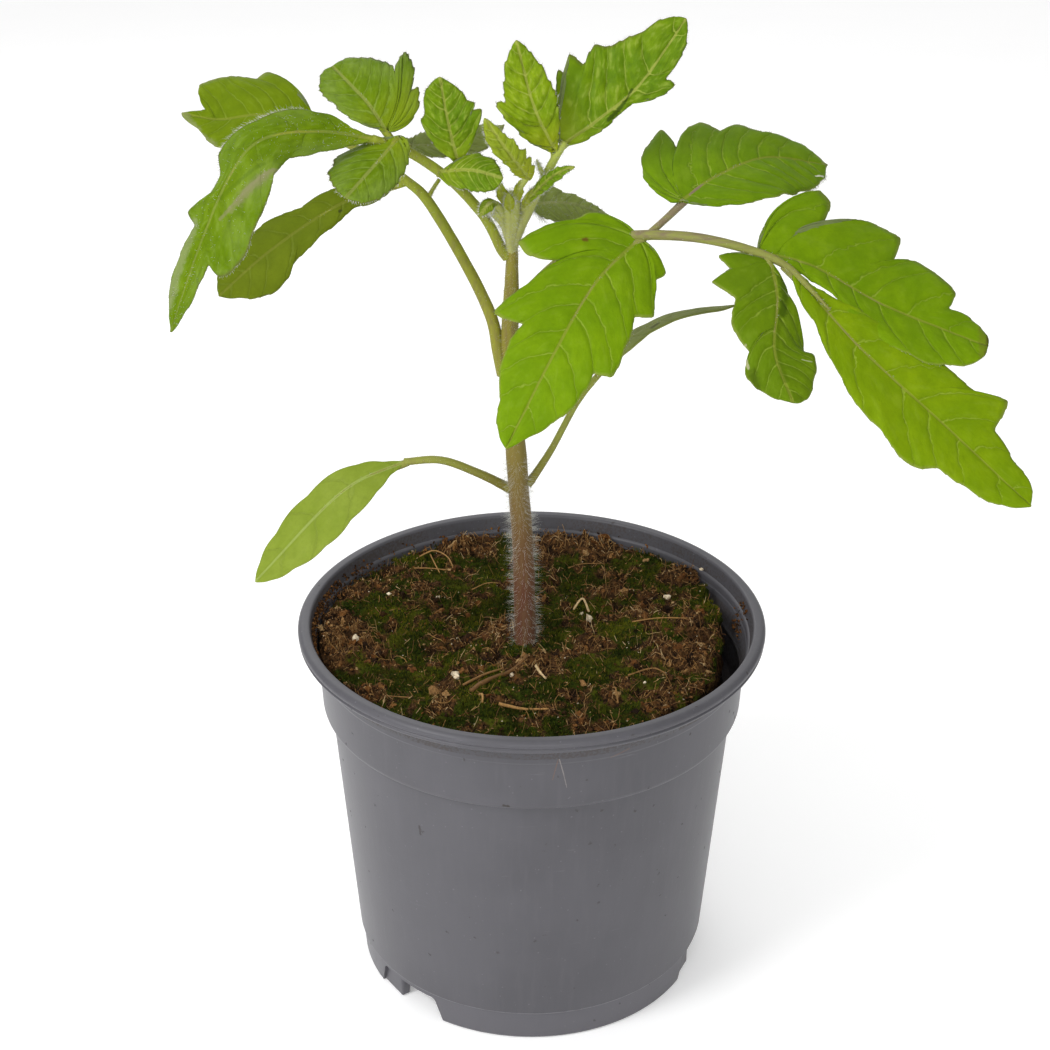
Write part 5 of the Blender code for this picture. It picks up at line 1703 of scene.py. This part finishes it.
upright_left = Blade(
    path=[(-17, -8, 222), (-19, -9, 231), (-21, -7, 242)],
    facing=(-0.05, -0.93, 0.36),
    left=[(0.18, 0.1), (0.38, 0.22), (0.58, 0.29), (0.66, 0.23), (0.85, 0.19), (0.97, 0.08)],
    right=[
        (0.18, 0.12), (0.38, 0.28), (0.6, 0.39), (0.58, 0.27), (0.68, 0.34), (0.69, 0.25), (0.81, 0.2),
        (0.93, 0.08),
    ],
    fold=0.15,
    droop=0.25,
)
back_left = Blade(
    path=[(-31, -6, 226), (-19, 6, 223), (-7, 14, 225)],
    facing=(0, -0.6, 0.8),
    left=[(0.2, 0.08), (0.54, 0.14), (0.81, 0.09)],
    right=[(0.13, 0.08), (0.47, 0.12), (0.77, 0.13)],
)
small_left = Blade(
    path=[(-21.4, -10.4, 221.4), (-14, -14, 222.8), (-7, -16, 221.6)],
    facing=(0, -0.75, 0.65),
    left=[
        (0.1, 0.06), (0.3, 0.17), (0.4, 0.28), (0.46, 0.25), (0.56, 0.31), (0.62, 0.27), (0.76, 0.26),
        (0.9, 0.14),
    ],
    right=[(0.1, 0.14), (0.25, 0.23), (0.5, 0.27), (0.75, 0.27), (0.94, 0.18)],
    fold=-0.1,
    droop=0.35,
)
HAIRY = [dict(count=260, length=0.9)]
SHAGGY = [*HAIRY, dict(count=260, length=1.6, low=0.2, high=0.62, sides=(1,), rise=0.5)]
woolly_top = leaf_finish(
    "woolly_leaf_upper_side",
    deep=(0.24, 0.30, 0.07),
    bright=(0.31, 0.38, 0.10),
    vein=(0.44, 0.48, 0.22),
    midrib_tone=(0.40, 0.44, 0.18),
    rim_tone=(0.26, 0.24, 0.12),
    vein_show=0.4,
    net=0.2,
)
folded_with_shadow = topped(
    "young_leaf_with_a_folded_strip_and_shadow",
    CALM_TONES,
    vein_show=0.2,
    marks=[
        ((33.0, -7.4), (40.0, -5.2), 1.9, (0.21, 0.21, 0.09), 0.5),
        ((30.0, -8.4), (43.0, -4.2), 1.2, (0.24, 0.23, 0.11), 0.5),
        ((28.5, -8.6), (46.0, -2.6), 0.6, (0.24, 0.23, 0.11), 0.6),
        # A dark green line painted as the shadow under the upper lobe's edge.
        ((30.0, -5.6), (42.0, -0.6), 0.7, (0.06, 0.12, 0.004), 0.4),
        ((50.0, 3.2), (70.0, 2.6), 1.5, (0.26, 0.30, 0.13), 0.6),
    ],
)
TOOTHED = dict(CALM, fringe=HAIRY, pitch=2.6)
WOOLLY = dict(CALM, fringe=SHAGGY, fuzz=[dict(count=420, length=0.7)])
HAIRY_YOUNG, HAIRY_TINY = dict(YOUNG, fringe=HAIRY), dict(TINY, fringe=HAIRY)
leaf(
    "upper_left_leaf",
    "leaf_left_upper",
    left_skin,
    [
        [
            (-6.0, -6, 199.4, 1.3), (-7.6, -6, 201.8, 1.3), (-10.2, -6.5, 207.5, 1.2),
            (-13, -7, 211.8, 1.2), (-19, -9, 219, 1.2), (-28, -11, 226, 1.1), (-36, -14, 230, 0.95),
        ],
    ],
    [
        ("arched", arched_left, [(-33, -13, 228.8)], 0.9, folded_with_shadow, WOOLLY),
        ("round", round_left, [(-31, -12, 228)], 0.8, bloomy_sheened, dict(TOOTHED, teeth=0.4)),
        ("front", front_left, [(-28, -11, 227)], 0.8, bloomy_sheened, dict(TOOTHED, teeth=0.5)),
        ("upright", upright_left, [(-18, -9, 218.6)], 0.8, young, HAIRY_YOUNG),
        ("back", back_left, [(-30, -11, 227)], 0.8, [woolly_top, woolly_top], HAIRY_TINY),
        ("small", small_left, [(-22, -9.8, 220.6)], 0.7, young, HAIRY_TINY),
    ],
    stalk_hair=(350, 0.8),
)

# ============================================================== top leaf
# The youngest open leaf, upright beside the growing tip, its two leaflets
# crisply puckered with bright veins.
upright_top = Blade(
    path=[(5, -7, 225), (0, -9, 236), (-4, -6, 250)],
    facing=(-0.1, -0.93, 0.34),
    left=[(0.14, 0.11), (0.39, 0.22), (0.58, 0.3), (0.55, 0.21), (0.72, 0.17), (0.93, 0.07)],
    right=[(0.17, 0.09), (0.39, 0.18), (0.57, 0.19), (0.65, 0.17), (0.86, 0.09)],
    fold=0.15,
    droop=0.2,
)
end_top = Blade(
    path=[(6, -6, 226), (14, -4.4, 231.2), (24, -1, 239), (34, 2, 253)],
    facing=(0.1, -0.85, 0.5),
    left=[
        (0.09, 0.12), (0.25, 0.37), (0.26, 0.28), (0.35, 0.4), (0.38, 0.29), (0.56, 0.34), (0.6, 0.28),
        (0.81, 0.16), (0.97, 0.06),
    ],
    right=[
        (0.18, 0.05), (0.36, 0.04), (0.45, 0.04), (0.56, 0.11), (0.68, 0.16), (0.67, 0.09), (0.8, 0.09),
        (0.94, 0.05),
    ],
    fold=0.15,
)
curled_top = Blade(
    path=[(-2, -7.6, 213), (4, -12, 220.5), (9, -15, 224)],
    facing=(0, -0.8, 0.6),
    left=[(0.3, 0.05), (0.6, 0.07), (0.85, 0.05)],
    right=[(0.3, 0.06), (0.6, 0.09), (0.85, 0.06)],
    fold=0.3,
    droop=0.0,
)
young_crease_shaded = topped(
    "young_leaf_with_a_shaded_crease",
    YOUNG_TONES,
    marks=[
        # A dark green line painted as the shade in a crease.
        ((12.0, 1.4), (17.7, 0.6), 0.55, (0.03, 0.06, 0.002), 0.8),
        ((17.7, 0.6), (20.6, -0.6), 0.4, (0.03, 0.06, 0.002), 0.8),
    ],
)
top_skin = skin("young_stalk_skin", (0.33, 0.34, 0.11), (0.32, 0.38, 0.06), 200, 226, (0.24, 0.23, 0.11))
leaf(
    "top_leaf",
    "leaf_top",
    top_skin,
    [
        [
            (-4.4, -6.2, 202, 0.8), (-3.4, -6.3, 206, 1.2), (-1.6, -6.4, 210.4, 1.3),
            (0.2, -6.5, 214.2, 1.15), (3, -7, 220, 1.0), (5, -7, 224, 0.95), (7, -6, 227, 0.85),
        ],
        [(2.4, -7, 219, 0.6), (1.4, -8, 221.4, 0.5), (0.6, -8.6, 223.6, 0.15)],
    ],
    [
        ("upright", upright_top, [(4.5, -7, 223)], 0.7, lively, dict(HAIRY_YOUNG, teeth=0.45, pitch=2.8)),
        ("end", end_top, [(5, -6.5, 224.6)], 0.8, young_crease_shaded, HAIRY_YOUNG),
        ("curled", curled_top, [(-2.6, -6.8, 211)], 0.7, [young[0], young[0]], HAIRY_TINY),
    ],
    stalk_hair=(400, 0.9),
)

# ============================================================== back leaf
# A small leaflet behind the tip, grey-green with hair.
COMBED = dict(
    TINY,
    fringe=[*HAIRY, dict(count=110, length=3.6, high=0.16, rise=-0.15)],
    fuzz=[dict(count=160, length=0.8)],
)
back_blade = Blade(
    path=[(-1, 1, 210), (8, 8, 208), (18, 14, 203)],
    facing=(0, -0.75, 0.65),
    left=[(0.1, 0.16), (0.29, 0.2), (0.46, 0.12), (0.72, 0.07)],
    right=[(0.05, 0.12), (0.31, 0.21), (0.72, 0.16)],
    fold=0.05,
)
leaf(
    "back_leaf",
    "leaf_back",
    top_skin,
    [
        [(-5, -4.6, 205, 1.3), (-4.5, -2.8, 207, 1.2), (-3.7, -1.3, 207.6, 1.1), (-1, 1, 210, 0.9)],
    ],
    [("blade", back_blade, [(-3, -0.6, 208.4)], 0.8, [woolly_top, woolly_top], COMBED)],
    stalk_hair=(200, 1.2),
)

# ============================================================== growing tip
# The soft mound of the shoot tip with its first folded leaflets and a bud,
# all in dense white hair.
first_tip_leaf = Blade(
    path=[(-1, -12, 220), (-6, -16, 228), (-11, -15, 235)],
    facing=(-0.1, -0.85, 0.5),
    left=[(0.1, 0.05), (0.22, 0.10), (0.4, 0.1), (0.55, 0.13), (0.72, 0.14), (0.9, 0.08)],
    right=[
        (0.04, 0.06), (0.12, 0.16), (0.16, 0.08), (0.26, 0.18), (0.3, 0.1), (0.42, 0.19), (0.46, 0.11),
        (0.62, 0.14), (0.66, 0.09), (0.86, 0.05),
    ],
    fold=0.2,
    droop=0.2,
)
tip_bud = Blade(
    path=[(-8.2, -9, 213.6), (-10.2, -11, 214.2), (-12.2, -12.4, 211.6)],
    facing=(-0.1, -0.7, 0.7),
    left=[(0.3, 0.2), (0.7, 0.22)],
    right=[(0.3, 0.2), (0.7, 0.22)],
    fold=-0.2,
)
TENDER_TONES = dict(
    YOUNG_TONES,
    deep=(0.21, 0.30, 0.012),
    bright=(0.31, 0.38, 0.02),
    blush=(0.38, 0.40, 0.03),
)
tender = [leaf_finish("tender_leaf", **TENDER_TONES)] * 2
SOFT = dict(TINY, fringe=[dict(count=60, length=1.3)])
BRACTS = [  # foot, tip and facing of the small scales round the tip
    ((-6.4, -8.2, 212.5), (-8.0, -9.4, 219.0), (-0.3, -0.9, 0.2)),
    ((-4.2, -8.8, 213.5), (-3.0, -10.6, 219.5), (0.3, -0.9, 0.2)),
    ((-5.4, -9.4, 211.5), (-5.8, -11.8, 217.0), (0.1, -0.9, 0.3)),
    ((-2.6, -7.6, 212.0), (0.2, -9.2, 217.2), (0.5, -0.8, 0.2)),
]
BRACT_EDGE = [(0.2, 0.12), (0.45, 0.2), (0.75, 0.14)]
tip_leaflets = []
for number, (foot, tip, facing) in enumerate(BRACTS):
    middle = (np.array(foot) + tip) / 2 + (0.0, -0.5, 0.3)
    blade = Blade([foot, tuple(middle), tip], facing, BRACT_EDGE, BRACT_EDGE, fold=0.25)
    tip_leaflets.append((f"bract_{number}", blade, [foot], 0.4, tender, SOFT))
leaf(
    "shoot_tip",
    "shoot_tip",
    top_skin,
    [
        [
            (-5, -6, 200, 1.3), (-5.1, -6, 203, 1.45), (-5.3, -6.2, 207, 1.95),
            (-5.4, -6.8, 210.5, 2.6), (-5.2, -8, 214, 2.0), (-4.8, -9, 216, 0.8),
        ],
        [
            (-5.4, -6.2, 203, 0.9), (-6.8, -6.8, 207.5, 1.1), (-8.8, -8, 211, 1.3),
            (-10.2, -9.4, 212.6, 0.9),
        ],
    ],
    [
        ("first", first_tip_leaf, [(-4.6, -8, 215), (-2.4, -10.8, 219)], 0.7, tender, HAIRY_TINY),
        ("bud", tip_bud, [(-7, -7.6, 210), (-8, -8.6, 212.4)], 0.9, [young[0], young[0]], HAIRY_TINY),
        *tip_leaflets,
    ],
    stalk_hair=(650, 1.5),
    knobbly=0.25,
)
